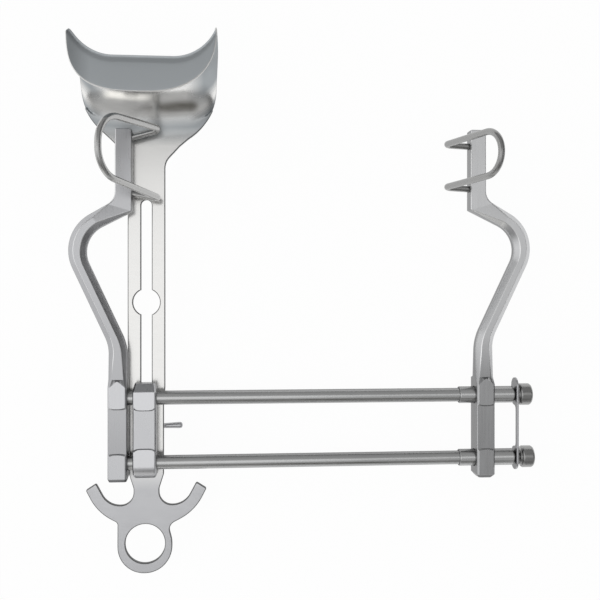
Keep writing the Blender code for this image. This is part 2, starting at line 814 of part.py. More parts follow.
def slot_outline():
    """Return the outline of the long slot, which widens to a round hole part of the way up."""
    slot = SLOT_WIDTH / 2
    hole = KEYHOLE_DIAMETER / 2
    meet = math.asin(slot / hole)
    steps = 12
    sweep = [meet + (math.pi - 2 * meet) * step / steps for step in range(steps + 1)]
    bulge = [Vector((hole * math.sin(a), KEYHOLE_HEIGHT + hole * math.cos(a), 0)) for a in sweep]
    ends = [FULL_TURN / 4 * step / 6 for step in range(7)]
    top = [Vector((slot * math.sin(a), SLOT_TOP - slot + slot * math.cos(a), 0)) for a in ends]
    bottom = [
        Vector((slot * math.cos(a), SLOT_BOTTOM + slot - slot * math.sin(a), 0)) for a in ends
    ]
    return mirrored_outline(top + bulge + bottom)


def wall_line(across, flat, corner):
    """Return how far the wall lies behind its front: nothing, then an arc towards the wings."""
    past = np.clip(np.abs(across) - flat, 0, 0.96 * corner)
    return corner - np.sqrt(corner**2 - past**2)


def blade_surface():
    """Return the middle surface of the blade and its thickness, each as a grid.

    A row runs across the blade, and its points follow the sine of an even angle, so they
    crowd towards the wings. A column starts on the flare's elliptical lower edge, lies
    flat, turns up through the wall bend, climbs the wall, turns forward over the lip bend
    and ends at the lip's free edge, which is a rounder kind of ellipse.
    """
    half = BLADE_WIDTH / 2
    turns = np.linspace(-RIGHT_ANGLE, RIGHT_ANGLE, BLADE_COLUMNS + 1)
    across = half * np.sin(turns)
    share = np.abs(np.sin(turns))
    root_z = SHANK_TOP_Z - SHANK_THICKNESS / 2
    low_wall = WALL_FRONT + wall_line(across, WALL_FLAT_LOW, WALL_CORNER_LOW)
    high_wall = WALL_FRONT + wall_line(across, WALL_FLAT_HIGH, WALL_CORNER_HIGH)
    foot = FLARE_TOP - FLARE_DEPTH * np.cos(turns)
    bend_foot = low_wall - WALL_BEND_RADIUS
    first_turn = np.arcsin(np.clip((foot - bend_foot) / WALL_BEND_RADIUS, 0, 0.95))
    flat = np.maximum(bend_foot - foot, 0)
    side = (across > 0).astype(int)
    high_wall = np.minimum(high_wall, np.array(HORN_TOPS)[side])
    lip_edge = LIP_FRONT + LIP_DEPTH * (1 - (1 - share**LIP_CURVE) ** (1 / LIP_CURVE))
    lip_edge = np.minimum(lip_edge, high_wall - LEAST_LIP)
    lip_bend = np.minimum(LIP_BEND_RADIUS, 0.75 * (high_wall - lip_edge))

    travel = np.linspace(0, 1, 15)[:, None]
    walked = travel * (flat + WALL_BEND_RADIUS * (RIGHT_ANGLE - first_turn))
    turn = first_turn + (walked - flat) / WALL_BEND_RADIUS
    level = walked < flat
    bend_y = np.where(level, foot + walked, bend_foot + WALL_BEND_RADIUS * np.sin(turn))
    bend_z = np.where(level, 0, WALL_BEND_RADIUS * (1 - np.cos(turn))) + root_z

    climb = np.linspace(0, 1, 7)[1:-1, None]
    ease = climb * climb * (3 - 2 * climb)
    wall_y = low_wall + (high_wall - low_wall) * ease
    wall_start = root_z + WALL_BEND_RADIUS
    wall_z = wall_start + (WALL_HEIGHT - lip_bend - wall_start) * climb

    turn = np.linspace(0, RIGHT_ANGLE, 6)[:, None]
    over_y = high_wall - lip_bend * (1 - np.cos(turn))
    over_z = WALL_HEIGHT - lip_bend * (1 - np.sin(turn))

    travel = np.linspace(0, 1, 5)[1:, None]
    lip_y = high_wall - lip_bend + (lip_edge - high_wall + lip_bend) * travel
    lip_z = np.full_like(lip_y, WALL_HEIGHT)

    y = np.vstack((bend_y, wall_y, over_y, lip_y))
    z = np.vstack((bend_z, wall_z, over_z, lip_z))
    rise = (z - root_z) / (WALL_HEIGHT - root_z)
    spread = np.array(BLADE_SPREADS)[side] * rise
    bulge = np.array(BLADE_BULGES)[side] * 4 * rise * (1 - rise)
    x = across * (1 + (spread + bulge) / half)
    thickness = np.linspace(BLADE_ROOT_THICKNESS, BLADE_LIP_THICKNESS, len(y))[:, None]
    thickness = thickness * (1 - BLADE_TIP_THINNING * share**10)
    return np.stack((x, y, z), axis=-1), thickness[:, :, None]


def thick_sheet(surface, thickness):
    """Return a closed sheet that spans half the thickness on each side of a grid surface."""
    along = np.gradient(surface, axis=0)
    sideways = np.gradient(surface, axis=1)
    normal = np.cross(along, sideways)
    normal /= np.linalg.norm(normal, axis=-1, keepdims=True)
    normal[:, 0] = normal[:, 1]
    normal[:, -1] = normal[:, -2]
    shape = bmesh.new()
    faces = []
    for side in (1, -1):
        grid = (surface + normal * thickness / 2 * side) * MM
        faces.append([[shape.verts.new(point) for point in row] for row in grid])
    front, back = faces
    rows = len(front)
    columns = len(front[0])
    for grid in (front, back):
        for row in range(rows - 1):
            for column in range(columns - 1):
                low, high = grid[row], grid[row + 1]
                shape.faces.new((low[column], low[column + 1], high[column + 1], high[column]))
    border = [(0, column) for column in range(columns)]
    border += [(row, columns - 1) for row in range(1, rows)]
    border += [(rows - 1, column) for column in range(columns - 2, -1, -1)]
    border += [(row, 0) for row in range(rows - 2, 0, -1)]
    for here, there in zip(border, border[1:] + border[:1]):
        corner_faces = (front[here[0]][here[1]], front[there[0]][there[1]])
        corner_backs = (back[there[0]][there[1]], back[here[0]][here[1]])
        shape.faces.new(corner_faces + corner_backs)
    return shape


def build_centre_blade(material):
    """Build the slotted shank with its handle and join the curved blade to its root."""
    place = (CARRIAGE_X, 0, SHANK_BACK_Z)
    shank = plate(handle_outline(), SHANK_THICKNESS, SHANK_EDGE)
    blade = add_object("centre_blade", shank, material, place)
    sheet = add_object("blade_sheet", thick_sheet(*blade_surface()))
    sheet.location = Vector((BLADE_SHIFT, 0, -SHANK_BACK_Z)) * MM
    boolean(blade, sheet, "UNION")
    holes = (
        ("slot", slot_outline()),
        ("ring_hole", circle(RING_HOLE_CENTRE, RING_HOLE_DIAMETER / 2, 40)),
    )
    for label, outline in holes:
        cutter = plate_hole(outline, SHANK_THICKNESS, SHANK_EDGE)
        boolean(blade, add_object(label, cutter), "DIFFERENCE")
    return blade


# Whole object


def main():
    """Build every piece in its resting place."""
    clear_scene()
    bright = steel("bright_steel", (0.76, 0.76, 0.76), 0.2)
    satin = steel("satin_steel", (0.62, 0.63, 0.64), 0.34)
    brushed = steel("brushed_steel", (0.55, 0.56, 0.57), 0.4)
    dark = steel("rod_steel", (0.5, 0.51, 0.51), 0.28)
    arms = (
        ("fixed", -1, FIXED_ARM_FORM, FIXED_WIRE_FORM, 0.0),
        ("sliding", 1, SLIDING_ARM_FORM, SLIDING_WIRE_FORM, ARM_SPREAD),
    )
    for label, side, arm_form, wire_form, x in arms:
        place = (x, 0, ROD_HEIGHT)
        arm = build_arm(f"{label}_arm", side, arm_form, wire_form, place, satin)
        build_wire_blade(f"{label}_wire_blade", side, arm_form, wire_form, arm, brushed)
    for label, height in rod_rows():
        build_rod(f"{label}_rod", height, dark)
        build_sleeve(f"{label}_sleeve", height, arm, brushed)
        screw_out = LOWER_SCREW_OUT if label == "lower" else 0.0
        build_thumb_screw(f"{label}_thumb_screw", height, screw_out, brushed)
    build_end_link(bright)
    build_carriage(satin)
    build_clamp(satin, bright)
    build_centre_blade(bright)


main()
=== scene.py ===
"""Dress an abdominal retractor with finely rounded steel pieces and a plain studio.

Each piece is a surface worked out from two parameters: a profile turned about an axis, a
circle carried along a bent wire, a chamfered section carried up an arm, or the sheet of the
centre blade. Sizes are in millimetres unless a property says otherwise, and become metres
where a mesh is made. +X runs along the rods, +Y up the arms and +Z to the side of the blades.
"""

import json
import math

import bmesh
import bpy
import numpy as np
from bpy.props import FloatProperty, FloatVectorProperty, IntProperty, PointerProperty
from mathutils import Matrix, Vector
from mathutils.geometry import tessellate_polygon


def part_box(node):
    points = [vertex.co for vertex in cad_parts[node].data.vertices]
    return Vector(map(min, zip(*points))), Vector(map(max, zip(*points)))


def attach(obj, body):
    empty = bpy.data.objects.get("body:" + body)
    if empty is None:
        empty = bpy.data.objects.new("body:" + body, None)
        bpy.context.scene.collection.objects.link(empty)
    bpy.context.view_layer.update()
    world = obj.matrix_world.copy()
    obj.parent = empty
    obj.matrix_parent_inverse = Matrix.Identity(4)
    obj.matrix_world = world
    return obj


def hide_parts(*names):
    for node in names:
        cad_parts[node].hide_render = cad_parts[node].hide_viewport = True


bl_info = {
    "name": "Abdominal Retractor",
    "version": (1, 0, 0),
    "blender": (4, 5, 0),
    "location": "View3D > Sidebar > Retractor",
    "description": "Builds the dressed pieces of an abdominal retractor and its studio",
    "category": "Add Mesh",
}

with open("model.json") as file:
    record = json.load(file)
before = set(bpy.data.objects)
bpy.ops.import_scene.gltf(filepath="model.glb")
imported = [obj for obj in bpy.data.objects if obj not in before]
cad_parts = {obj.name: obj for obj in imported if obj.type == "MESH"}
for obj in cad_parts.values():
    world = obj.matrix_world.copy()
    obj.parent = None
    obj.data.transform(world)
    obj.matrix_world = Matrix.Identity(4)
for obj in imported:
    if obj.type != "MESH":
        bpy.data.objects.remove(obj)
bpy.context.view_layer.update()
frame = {"record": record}

MM = 0.001
FULL_TURN = 2 * math.pi
RIGHT_ANGLE = math.pi / 2

# Clearance of pieces that sit in each other and of pieces that run on each other
GAP = 0.3
RUNNING_GAP = 0.2

# Share of a straight stretch that the roundings at its ends may take up
ARC_ROOM = 0.985

# Angles in degrees past which an edge looks sharp
SMOOTH_ANGLE = 32
FACET_ANGLE = 24
SHEET_ANGLE = 50

# Rods and blocks
ROD_BEVEL = 0.4
ROD_HOLE_DEPTH = 12.0
ROD_SPACING = 35.0
ROD_HEIGHT = 7.0
BLOCK_WIDTH = 10.2
BLOCK_TOP = 27.0
BLOCK_FEET = (-27.0, -28.0)
BLOCK_BOSS = 10.4
BLOCK_RELIEF = 0.9
BLOCK_EDGE = 0.7
BLOCK_FACET = 0.9
RELIEF_FACET = 0.35
BLOCK_BACK_EDGE = 1.3
BLOCK_END_BEVEL = 1.9
BLOCK_END_INSETS = (0.5, 1.5)
BLOCK_SOFTENING = 0.3
SHOULDER_RISE = 0.7
SHOULDER_BOWS = (0.8, 0.5)
SHOULDER_POWER = 2.5
BOSS_SLOPE = 3.4
BOSS_SLOPE_POWER = 1.1

# Arms: widths by stretch, then the radii of the inner and outer edge at each bend
ARM_WIDTHS = (10.2, 9.2, 9.2, 8.9)
ARM_THICKNESS = 9.6
ARM_FACET = 3.1
ARM_ROOT_FACET = 1.8
ARM_SOFTENING = 0.9
ARM_END_THICKNESS = 8.0
ARM_END_EDGE = 0.45
ARM_BEND_RADII = (31.0, 21.0)
ARM_CREST_RADII = (15.2, 22.6)
ARM_ELBOW_RADII = (0.5, 8.0)
ARM_SPREAD = 201.2
FIXED_ARM_FORM = (46.0, 27.4, 104.9, 121.1, 162.4, 2.9)
SLIDING_ARM_FORM = (48.5, 27.9, 107.0, 123.5, 165.0, 3.55)

# Wires: drops of their corners below the arm's tip, then the reach of the tips and crown
WIRE_RISE = 44.0
WIRE_TIP_BEND = 2.6
WIRE_SEAT_DEPTH = 4.0
FIXED_WIRE_FORM = (34.7, 3.9, 37.3, -0.6, 29.3, -0.6, 23.1, 4.9)
SLIDING_WIRE_FORM = (32.6, 8.8, 31.8, 8.1, 29.4, 6.4, 22.0, -3.5)

# Carriage
CARRIAGE_X = 14.3
CARRIAGE_WIDTH = 12.6
CARRIAGE_HALF = 25.4
CARRIAGE_UPPER_BOSS = 11.5
CARRIAGE_LOWER_BOSS = 9.6
CARRIAGE_RELIEF = 0.9
CARRIAGE_EDGE = 0.8
CARRIAGE_TOP_BEVEL = 4.3
CARRIAGE_FOOT_ROUNDING = 7.0
CARRIAGE_END_DROP = 4.6
CARRIAGE_SHOULDER_RISE = 0.6
CARRIAGE_SOFTENING = 0.35
ROUNDING_POWER = 2.3

# Clamp
STUD_HOLE = 2.8
NUT_HEIGHT = 5.0
NUT_BEVEL = 0.7
LEVER_DIAMETER = 2.6
LEVER_TIP_DIAMETER = 3.4
LEVER_LENGTH = 19.4
LEVER_ANGLE = 1.4
LEVER_SEAT_DEPTH = 2.6
LEVER_TIP_LENGTH = 2.2

# Shank and handle of the centre blade
SHANK_THICKNESS = 3.1
SHANK_TOP_Z = -GAP
SHANK_NARROWING = 0.75
SHANK_NARROW_TOP = 22.0
SHANK_NARROW_LENGTH = 8.0
SHANK_FOOT = -25.6
SHANK_FOOT_RADIUS = 6.0
SEAM_HEIGHT = 140.0
SLOT_TOP = 125.5
SLOT_BOTTOM = -21.0
KEYHOLE_HEIGHT = 69.2
NECK_WIDTH = 14.0
NECK_HEIGHT = -33.2
NECK_RADIUS = 5.0
BIGHT_BOTTOM = -42.3
BIGHT_RADIUS = 7.1
BIGHT_OUTER_RADIUS = 11.0
HORN_INNER_TIP = (27.3, -30.1)
HORN_OUTER_TIP = (32.9, -33.7)
HORN_BACK = (26.5, -46.1)
HORN_BACK_RADIUS = 28.0
HORN_TIP_RADIUS = 0.9
HORN_SLANT = 0.54
RIGHT_WAIST = (11.9, -53.7, 4.5)
LEFT_WAIST = (15.7, -51.9, 2.2)
RING_DIAMETER = 29.8
RING_SHIFT = -0.85
RING_HEIGHT = -65.0
RING_HOLE_CENTRE = (-0.7, -63.6)

# Sheet of the centre blade
BLADE_SHIFT = 1.6
BLADE_WIDTH = 73.0
BLADE_SPREADS = (0.3, 0.7)
BLADE_BULGES = (0.4, 1.0)
BLADE_ROOT_THICKNESS = 3.0
BLADE_TIP_THINNING = 0.7
BLADE_TIP_POWER = 10
BLADE_COLUMNS = 97
FLARE_ROWS = 56
STEEPEST_RISE = 0.95
FLARE_DEPTH = 32.7
FLARE_TOP = 186.0
FLARE_JOIN = 10.5
FLARE_FILLET = 9.0
FLARE_SLOPE = 1.1
WALL_FRONT = 191.0
WALL_BEND_RADIUS = 29.0
WALL_HEIGHT = 49.2
WALL_FLAT_LOW = 21.0
WALL_FLATS_HIGH = (14.0, 15.0)
WALL_CORNER_LOW = 17.0
WALL_CORNERS_HIGH = (23.0, 22.0)
LIP_BEND_RADIUS = 4.0
LIP_FRONT = 173.1
LIP_DEPTH = 31.2
LIP_CURVES = (3.1, 2.4)
LEAST_LIPS = (6.4, 4.2)
HORN_TOPS = (205.2, 207.6)
BELLY_DEPTH = 2.0
BELLY_REACH = 30.0
HORN_ROUNDING = 2.6
HORN_LIP_PULL = 0.75
HORN_TOP_SOFTENING = 0.5

# End link and thumb screws
LINK_TOP = 26.9
LINK_BOTTOM = -24.6
LINK_HALF_DEPTH = 4.9
LINK_BAR_DEPTH = 2.4
LINK_EYE_RADIUS = 6.0
SCREW_SHANK_DIAMETER = 4.4
SCREW_COLLAR_DIAMETER = 8.6
SCREW_COLLAR_LENGTH = 1.0
SCREW_HEAD_LENGTH = 6.9
SCREW_BEVEL = 1.0
SCREW_GROOVE = 0.35
THREAD_CHAMFER = 0.5

# Camera: its place, the point it looks at and its lens
CAMERA_PLACE = (55.31, 70.43, 485.06)
CAMERA_AIM = (98.4, 70.43, 7.0)
CAMERA_LENS = 52.36

FLOOR_HEIGHT = -11.0
FLOOR_HALF = 3000.0
FLOOR_MIDDLE = (100, 60)

# Points across the front of a block, and rings round a quarter of a plate's edge
FRONT_POINTS = 11
EDGE_STEPS = 6
HOLE_SIDES = 40
LEVER_SIDES = 32
WIRE_SIDES = 28


# Settings


def length(label, text, millimetres):
    """Return a length property, kept in metres."""
    return FloatProperty(
        name=label, description=text, default=millimetres * MM, min=0.0001, unit="LENGTH"
    )


def colour(label, text, value):
    """Return a colour property."""
    return FloatVectorProperty(
        name=label, description=text, default=value, size=3, min=0, max=1, subtype="COLOR"
    )


def share(label, text, value, top=1.0):
    """Return a plain number between nothing and a top value."""
    return FloatProperty(
        name=label, description=text, default=value, min=0, max=top, subtype="FACTOR"
    )


class RetractorSizes(bpy.types.PropertyGroup):
    """Sizes of the pieces that a maker would change first."""

    wire_diameter: length("Wire diameter", "Diameter of the side blades' wire", 3.5)
    shank_width: length("Shank width", "Width of the centre blade's shank", 20.4)
    slot_width: length("Slot width", "Width of the slot in the shank", 5.8)
    keyhole_diameter: length("Keyhole", "Diameter of the round hole in the slot", 14.7)
    ring_hole_diameter: length("Finger ring", "Diameter of the finger ring's hole", 21.6)
    lip_thickness: length("Lip thickness", "Thickness of the blade at its lip", 1.9)
    edge_rounding: length("Edge rounding", "Radius of the softened edges", 0.6)
    round_sides: IntProperty(
        name="Round sides", description="Faces round a turned piece", default=64, min=16, max=128
    )


class RetractorFinishes(bpy.types.PropertyGroup):
    """Colours and roughness of the finishes."""

    bright_colour: colour("Bright steel", "Polished shank and blade", (0.87, 0.865, 0.85))
    lip_colour: colour("Lip", "Blasted lip of the centre blade", (0.49, 0.52, 0.54))
    satin_colour: colour("Satin steel", "Fixed arm, carriage and nut", (0.73, 0.735, 0.755))
    # The sliding arm's colour is a copy of the satin steel retoned for how the light falls on
    # that side: painted light and shade
    shade_colour: colour("Dull satin", "Sliding arm", (0.76, 0.765, 0.775))
    brushed_colour: colour("Brushed steel", "Wires and screws", (0.5, 0.5, 0.495))
    rod_colour: colour("Rod steel", "Ground guide rods", (0.62, 0.625, 0.625))
    sleeve_colour: colour("Sleeve steel", "Ground guide sleeves", (0.66, 0.665, 0.665))
    bright_roughness: share("Bright roughness", "Roughness of the polished steel", 0.2)
    satin_roughness: share("Satin roughness", "Roughness of the satin steel", 0.28)
    brushed_roughness: share("Brushed roughness", "Roughness of the brushed steel", 0.27)
    rod_roughness: share("Rod roughness", "Roughness of the ground rods", 0.26)
    grain: share("Grain", "Depth of the grinding marks", 0.06)


class RetractorStudio(bpy.types.PropertyGroup):
    """Light and floor of the studio."""

    floor_colour: colour("Floor", "Colour of the floor", (0.86, 0.86, 0.86))
    dome: share("Dome", "Strength of the light from the dome", 1.0, 4)
    key_power: FloatProperty(
        name="Key", description="Power of the large lamp", default=1.3, min=0, unit="POWER"
    )


# Paths and surfaces


def unit(vectors):
    """Return the vectors at a length of one."""
    return vectors / np.maximum(np.linalg.norm(vectors, axis=-1, keepdims=True), 1e-12)


def rounded_line(corners, steps=12):
    """Return the points of a path whose corners, (x, y[, z], radius), become arcs.

    An arc is centre + (start sin((1 - s) w) + end sin(s w)) / sin w, where start and end
    are its first and last spokes, w is the angle between them and s goes from 0 to 1.
    """
    places = np.array([(*corner[:-1], 0.0)[:3] for corner in corners], float)
    radii = np.array([corner[-1] for corner in corners], float)
    legs = np.diff(places, axis=0)
    lengths = np.linalg.norm(legs, axis=1)
    ways = unit(legs)
    back = -ways[:-1]
    ahead = ways[1:]
    half = np.arccos(np.clip((back * ahead).sum(1), -1, 1)) / 2
    reaches = np.zeros(len(places))
    reaches[1:-1] = radii[1:-1] / np.tan(half)
    wanted = np.maximum(reaches[:-1] + reaches[1:], 1e-9)
    room = np.minimum(1, ARC_ROOM * lengths / wanted)
    reaches *= np.minimum(np.append(room, 1), np.insert(room, 0, 1))
    reach = np.maximum(reaches[1:-1], 1e-6)[:, None]
    here = places[1:-1]
    radius = reach * np.tan(half)[:, None]
    centre = here + unit(back + ahead) * radius / np.sin(half)[:, None]
    start = here + back * reach - centre
    end = here + ahead * reach - centre
    sweep = np.maximum(math.pi - 2 * half, 1e-4)[:, None, None]
    step = np.linspace(0, 1, steps + 1)[None, :, None]
    spokes = start[:, None] * np.sin((1 - step) * sweep) + end[:, None] * np.sin(step * sweep)
    arcs = (centre[:, None] + spokes / np.sin(sweep)).reshape(-1, 3)
    points = np.vstack((places[:1], arcs, places[-1:]))
    apart = np.linalg.norm(np.diff(points, axis=0), axis=1) > 1e-4
    return points[np.append(apart, True)]


def circle(centre, radius, sides):
    """Return a circle: centre + radius (cos a, sin a)."""
    a = np.arange(sides) / sides * FULL_TURN
    flat = np.zeros(sides)
    return np.stack((centre[0] + radius * np.cos(a), centre[1] + radius * np.sin(a), flat), -1)


def grid_quads(rows, columns, wrap_rows=False, wrap_columns=False, first=0):
    """Return the four corners of each cell of a grid of points, numbered row by row."""
    index = np.arange(rows * columns).reshape(rows, columns) + first
    if wrap_rows:
        index = np.vstack((index, index[:1]))
    if wrap_columns:
        index = np.hstack((index, index[:, :1]))
    cells = (index[:-1, :-1], index[:-1, 1:], index[1:, 1:], index[1:, :-1])
    return np.stack(cells, -1).reshape(-1, 4).tolist()


def turned(profile, sides, closed=False):
    """Turn a profile of (along, radius) corners about X: (along, radius cos a, radius sin a).

    The ends are closed by flat discs, or the profile closes on itself round a bore.
    """
    line = rounded_line(profile, 5)
    if closed:
        line = line[:-1]
    a = np.arange(sides) / sides * FULL_TURN
    along = np.broadcast_to(line[:, :1], (len(line), sides))
    points = np.stack((along, line[:, 1:2] * np.cos(a), line[:, 1:2] * np.sin(a)), -1)
    faces = grid_quads(len(line), sides, wrap_rows=closed, wrap_columns=True)
    if not closed:
        last = (len(line) - 1) * sides
        faces += [list(range(sides)), list(range(last, last + sides))]
    return points.reshape(-1, 3), faces


def upright(points):
    """Turn points made along X so that they stand along Z."""
    return points[:, [1, 2, 0]]


def tube(path, radius, sides):
    """Carry a circle along a path: point + radius (side cos a + up sin a).

    Side is square to the path and to one fixed direction, and up is square to both.
    """
    along = unit(np.gradient(path, axis=0))
    side = unit(np.cross(along, np.array((1.0, -1.0, 1.0))))
    up = np.cross(along, side)
    a = (np.arange(sides) / sides * FULL_TURN)[None, :, None]
    points = path[:, None] + radius * (side[:, None] * np.cos(a) + up[:, None] * np.sin(a))
    last = (len(path) - 1) * sides
    faces = grid_quads(len(path), sides, wrap_columns=True)
    faces += [list(range(sides)), list(range(last, last + sides))]
    return points.reshape(-1, 3), faces


def softened(rings, radius, steps=4):
    """Round the corners of many-sided rings with short curves.

    A corner becomes (1 - s)^2 start + 2 s (1 - s) corner + s^2 end for s from 0 to 1, where
    start and end lie at the radius along its two sides, or at two fifths of a short side.
    """
    before = np.roll(rings, 1, axis=1) - rings
    after = np.roll(rings, -1, axis=1) - rings
    pull_back = np.minimum(radius, 0.4 * np.linalg.norm(before, axis=-1, keepdims=True))
    pull_on = np.minimum(radius, 0.4 * np.linalg.norm(after, axis=-1, keepdims=True))
    start = rings + unit(before) * pull_back
    end = rings + unit(after) * pull_on
    s = np.linspace(0, 1, steps)[None, None, :, None]
    curve = (
        (1 - s) ** 2 * start[:, :, None]
        + 2 * s * (1 - s) * rings[:, :, None]
        + s**2 * end[:, :, None]
    )
    return curve.reshape(len(rings), -1, 3)


def lofted(rings):
    """Skin rings of points one after another and close both ends."""
    count, sides = rings.shape[:2]
    last = (count - 1) * sides
    faces = grid_quads(count, sides, wrap_columns=True)
    faces += [list(range(sides)), list(range(last, last + sides))]
    return rings.reshape(-1, 3), faces


def chamfered_rings(left, right, front, back, facet, back_facet, bow=0.0, power=2.0):
    """Return rings between two edge lines, with their corners cut off and a bowed front.

    Left and right are points in the plane of the arms. Front and back are the heights of
    the two faces, and the facets are how much of each corner is cut off. Points across the
    front shift up the arm by bow |2 t - 1|^power, for t from 0 at one side to 1.
    """
    across = unit(right - left)
    count = len(left)
    front, back, facet, back_facet, bow, power = (
        np.broadcast_to(np.asarray(value, float), count)[:, None]
        for value in (front, back, facet, back_facet, bow, power)
    )
    rise = np.array((0.0, 0.0, 1.0))
    up = np.array((0.0, 1.0, 0.0))
    t = np.linspace(0, 1, FRONT_POINTS)[None, :, None]
    first = right - across * facet + rise * front
    last = left + across * facet + rise * front
    lift = up * (bow * np.abs(2 * t[0, :, 0] - 1)[None] ** power)[:, :, None]
    middle = first[:, None] * (1 - t) + last[:, None] * t + lift
    corners = (
        left + rise * (back + back_facet),
        left + across * back_facet + rise * back,
        right - across * back_facet + rise * back,
        right + rise * (back + back_facet),
        right + rise * (front - facet) + up * bow,
    )
    ends = (left + rise * (front - facet) + up * bow,)
    return np.concatenate((np.stack(corners, 1), middle, np.stack(ends, 1)), axis=1)


# Meshes and objects


def make_mesh(name, points, faces, sharp=SMOOTH_ANGLE, painted_edge_mask=None):
    """Make a closed mesh from points in millimetres, with its faces turned outwards.

    The last argument gives how far each point lies on the rounded edge of a plate, where the
    finish paints a dark outline, or a highlight on the lip.
    """
    mesh = bpy.data.meshes.new(name)
    mesh.from_pydata(np.asarray(points) * MM, [], faces)
    if painted_edge_mask is not None:
        layer = mesh.attributes.new("painted_edge_mask", "FLOAT", "POINT")
        layer.data.foreach_set("value", painted_edge_mask.astype(np.float32))
    shape = bmesh.new()
    shape.from_mesh(mesh)
    bmesh.ops.remove_doubles(shape, verts=shape.verts, dist=1e-6)
    bmesh.ops.recalc_face_normals(shape, faces=shape.faces)
    shape.to_mesh(mesh)
    shape.free()
    finish_shading(mesh, sharp)
    return mesh


def finish_shading(mesh, sharp):
    """Shade the faces smooth, apart from edges that turn by more than an angle."""
    mesh.polygons.foreach_set("use_smooth", np.ones(len(mesh.polygons), bool))
    mesh.set_sharp_from_angle(angle=math.radians(sharp))
    mesh.update()


def cut(obj, points, faces):
    """Cut a closed shape out of a piece, and keep the result as the piece's mesh."""
    tool = bpy.data.objects.new("cutter", make_mesh("cutter", points, faces))
    bpy.context.scene.collection.objects.link(tool)
    tool.hide_render = True
    step = obj.modifiers.new("Cut", "BOOLEAN")
    step.operation = "DIFFERENCE"
    step.solver = "EXACT"
    step.object = tool
    bpy.context.view_layer.update()
    finished = obj.evaluated_get(bpy.context.evaluated_depsgraph_get())
    result = bpy.data.meshes.new_from_object(finished)
    obj.modifiers.remove(step)
    obj.data = result
    bpy.data.objects.remove(tool)
    finish_shading(result, SMOOTH_ANGLE)


def add_piece(name, mesh, material, node):
    """Put a piece in the scene in place of a node, riding on that node's body."""
    obj = bpy.data.objects.new(name, mesh)
    bpy.context.scene.collection.objects.link(obj)
    mesh.materials.clear()
    mesh.materials.append(material)
    body = next(
        body
        for body, nodes in frame["record"]["behaviour"]["bodies"].items()
        if node in nodes
    )
    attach(obj, body)
    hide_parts(node)
    return obj


def keep_flat(obj):
    """Let the large faces of a piece keep their own shading beside its rounded edges."""
    step = obj.modifiers.new("Flat faces", "WEIGHTED_NORMAL")
    step.keep_sharp = True
    step.weight = 60
    return obj


def box_of(node):
    """Return a node's lowest and highest corner in millimetres."""
    low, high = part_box(node)
    return np.array(low) / MM, np.array(high) / MM


def settings():
    """Return the sizes, finishes and studio settings of this scene."""
    scene = bpy.context.scene
    return scene.retractor_sizes, scene.retractor_finishes, scene.retractor_studio


# Finishes

# Painted light and shade along the arms, for how the light falls on them: from and to a height in
# metres, with the tone at each
FIXED_ARM_BANDS = (
    (-0.012, 0.008, 0.84, 0.93),
    (0.03, 0.11, 1.0, 1.2),
    (0.135, 0.15, 1.0, 0.84),
)
SLIDING_ARM_BANDS = ((0.028, 0.05, 0.7, 1.0),)

# How much darker everything below the bosses' faces is: the ground reliefs are darker than the
# bosses, and on the arm pieces the same tone lays painted shade over the whole arm
RELIEF_TONES = {
    "Satin arm steel": 0.76,
    "Dull-lit arm steel": 0.95,
    "Satin block steel": 0.85,
}

# Span of the marks' noise that is used, and how finely they repeat along each axis
TONE_SPAN = (0.3, 0.7)
WIRE_STRETCH = (250.0, 250.0, 250.0)
ARM_STRETCH = (900.0, 60.0, 900.0)


def new_group(name, inputs, outputs):
    """Start a shader node group with named sockets, and return it with its two ends."""
    tree = bpy.data.node_groups.new(name, "ShaderNodeTree")
    for label, kind, value in inputs:
        socket = tree.interface.new_socket(label, in_out="INPUT", socket_type=kind)
        if value is not None:
            socket.default_value = value
    for label, kind in outputs:
        tree.interface.new_socket(label, in_out="OUTPUT", socket_type=kind)
    return tree, tree.nodes.new("NodeGroupInput"), tree.nodes.new("NodeGroupOutput")


def math_node(tree, operation, first, second=None, clamp=False):
    """Add a Math node on two values or sockets, and return its result."""
    node = tree.nodes.new("ShaderNodeMath")
    node.operation = operation
    node.use_clamp = clamp
    for socket, value in zip(node.inputs, (first, second)):
        if isinstance(value, bpy.types.NodeSocket):
            tree.links.new(value, socket)
        elif value is not None:
            socket.default_value = value
    return node.outputs[0]


def noise_node(tree, vector, scale, detail):
    """Add a noise on a vector, and return its value."""
    node = tree.nodes.new("ShaderNodeTexNoise")
    node.inputs["Scale"].default_value = scale
    node.inputs["Detail"].default_value = detail
    tree.links.new(vector, node.inputs["Vector"])
    return node.outputs["Fac"]


def grain_group():
    """Grinding marks: fine noise stretched along the marks, over a broad uneven tone."""
    name = "Grinding marks"
    if name in bpy.data.node_groups:
        return bpy.data.node_groups[name]
    inputs = (
        ("Vector", "NodeSocketVector", None),
        ("Stretch", "NodeSocketVector", (1.0, 1.0, 1.0)),
    )
    outputs = (("Tone", "NodeSocketFloat"), ("Height", "NodeSocketFloat"))
    tree, start, end = new_group(name, inputs, outputs)
    scaled = tree.nodes.new("ShaderNodeVectorMath")
    scaled.operation = "MULTIPLY"
    tree.links.new(start.outputs["Vector"], scaled.inputs[0])
    tree.links.new(start.outputs["Stretch"], scaled.inputs[1])
    marks = noise_node(tree, scaled.outputs[0], 1.0, 5.0)
    patches = noise_node(tree, start.outputs["Vector"], 38.0, 2.0)
    weighed = math_node(tree, "MULTIPLY", marks, 0.55)
    broad = math_node(tree, "MULTIPLY", patches, 0.45)
    tree.links.new(math_node(tree, "ADD", weighed, broad), end.inputs["Tone"])
    tree.links.new(marks, end.inputs["Height"])
    return tree


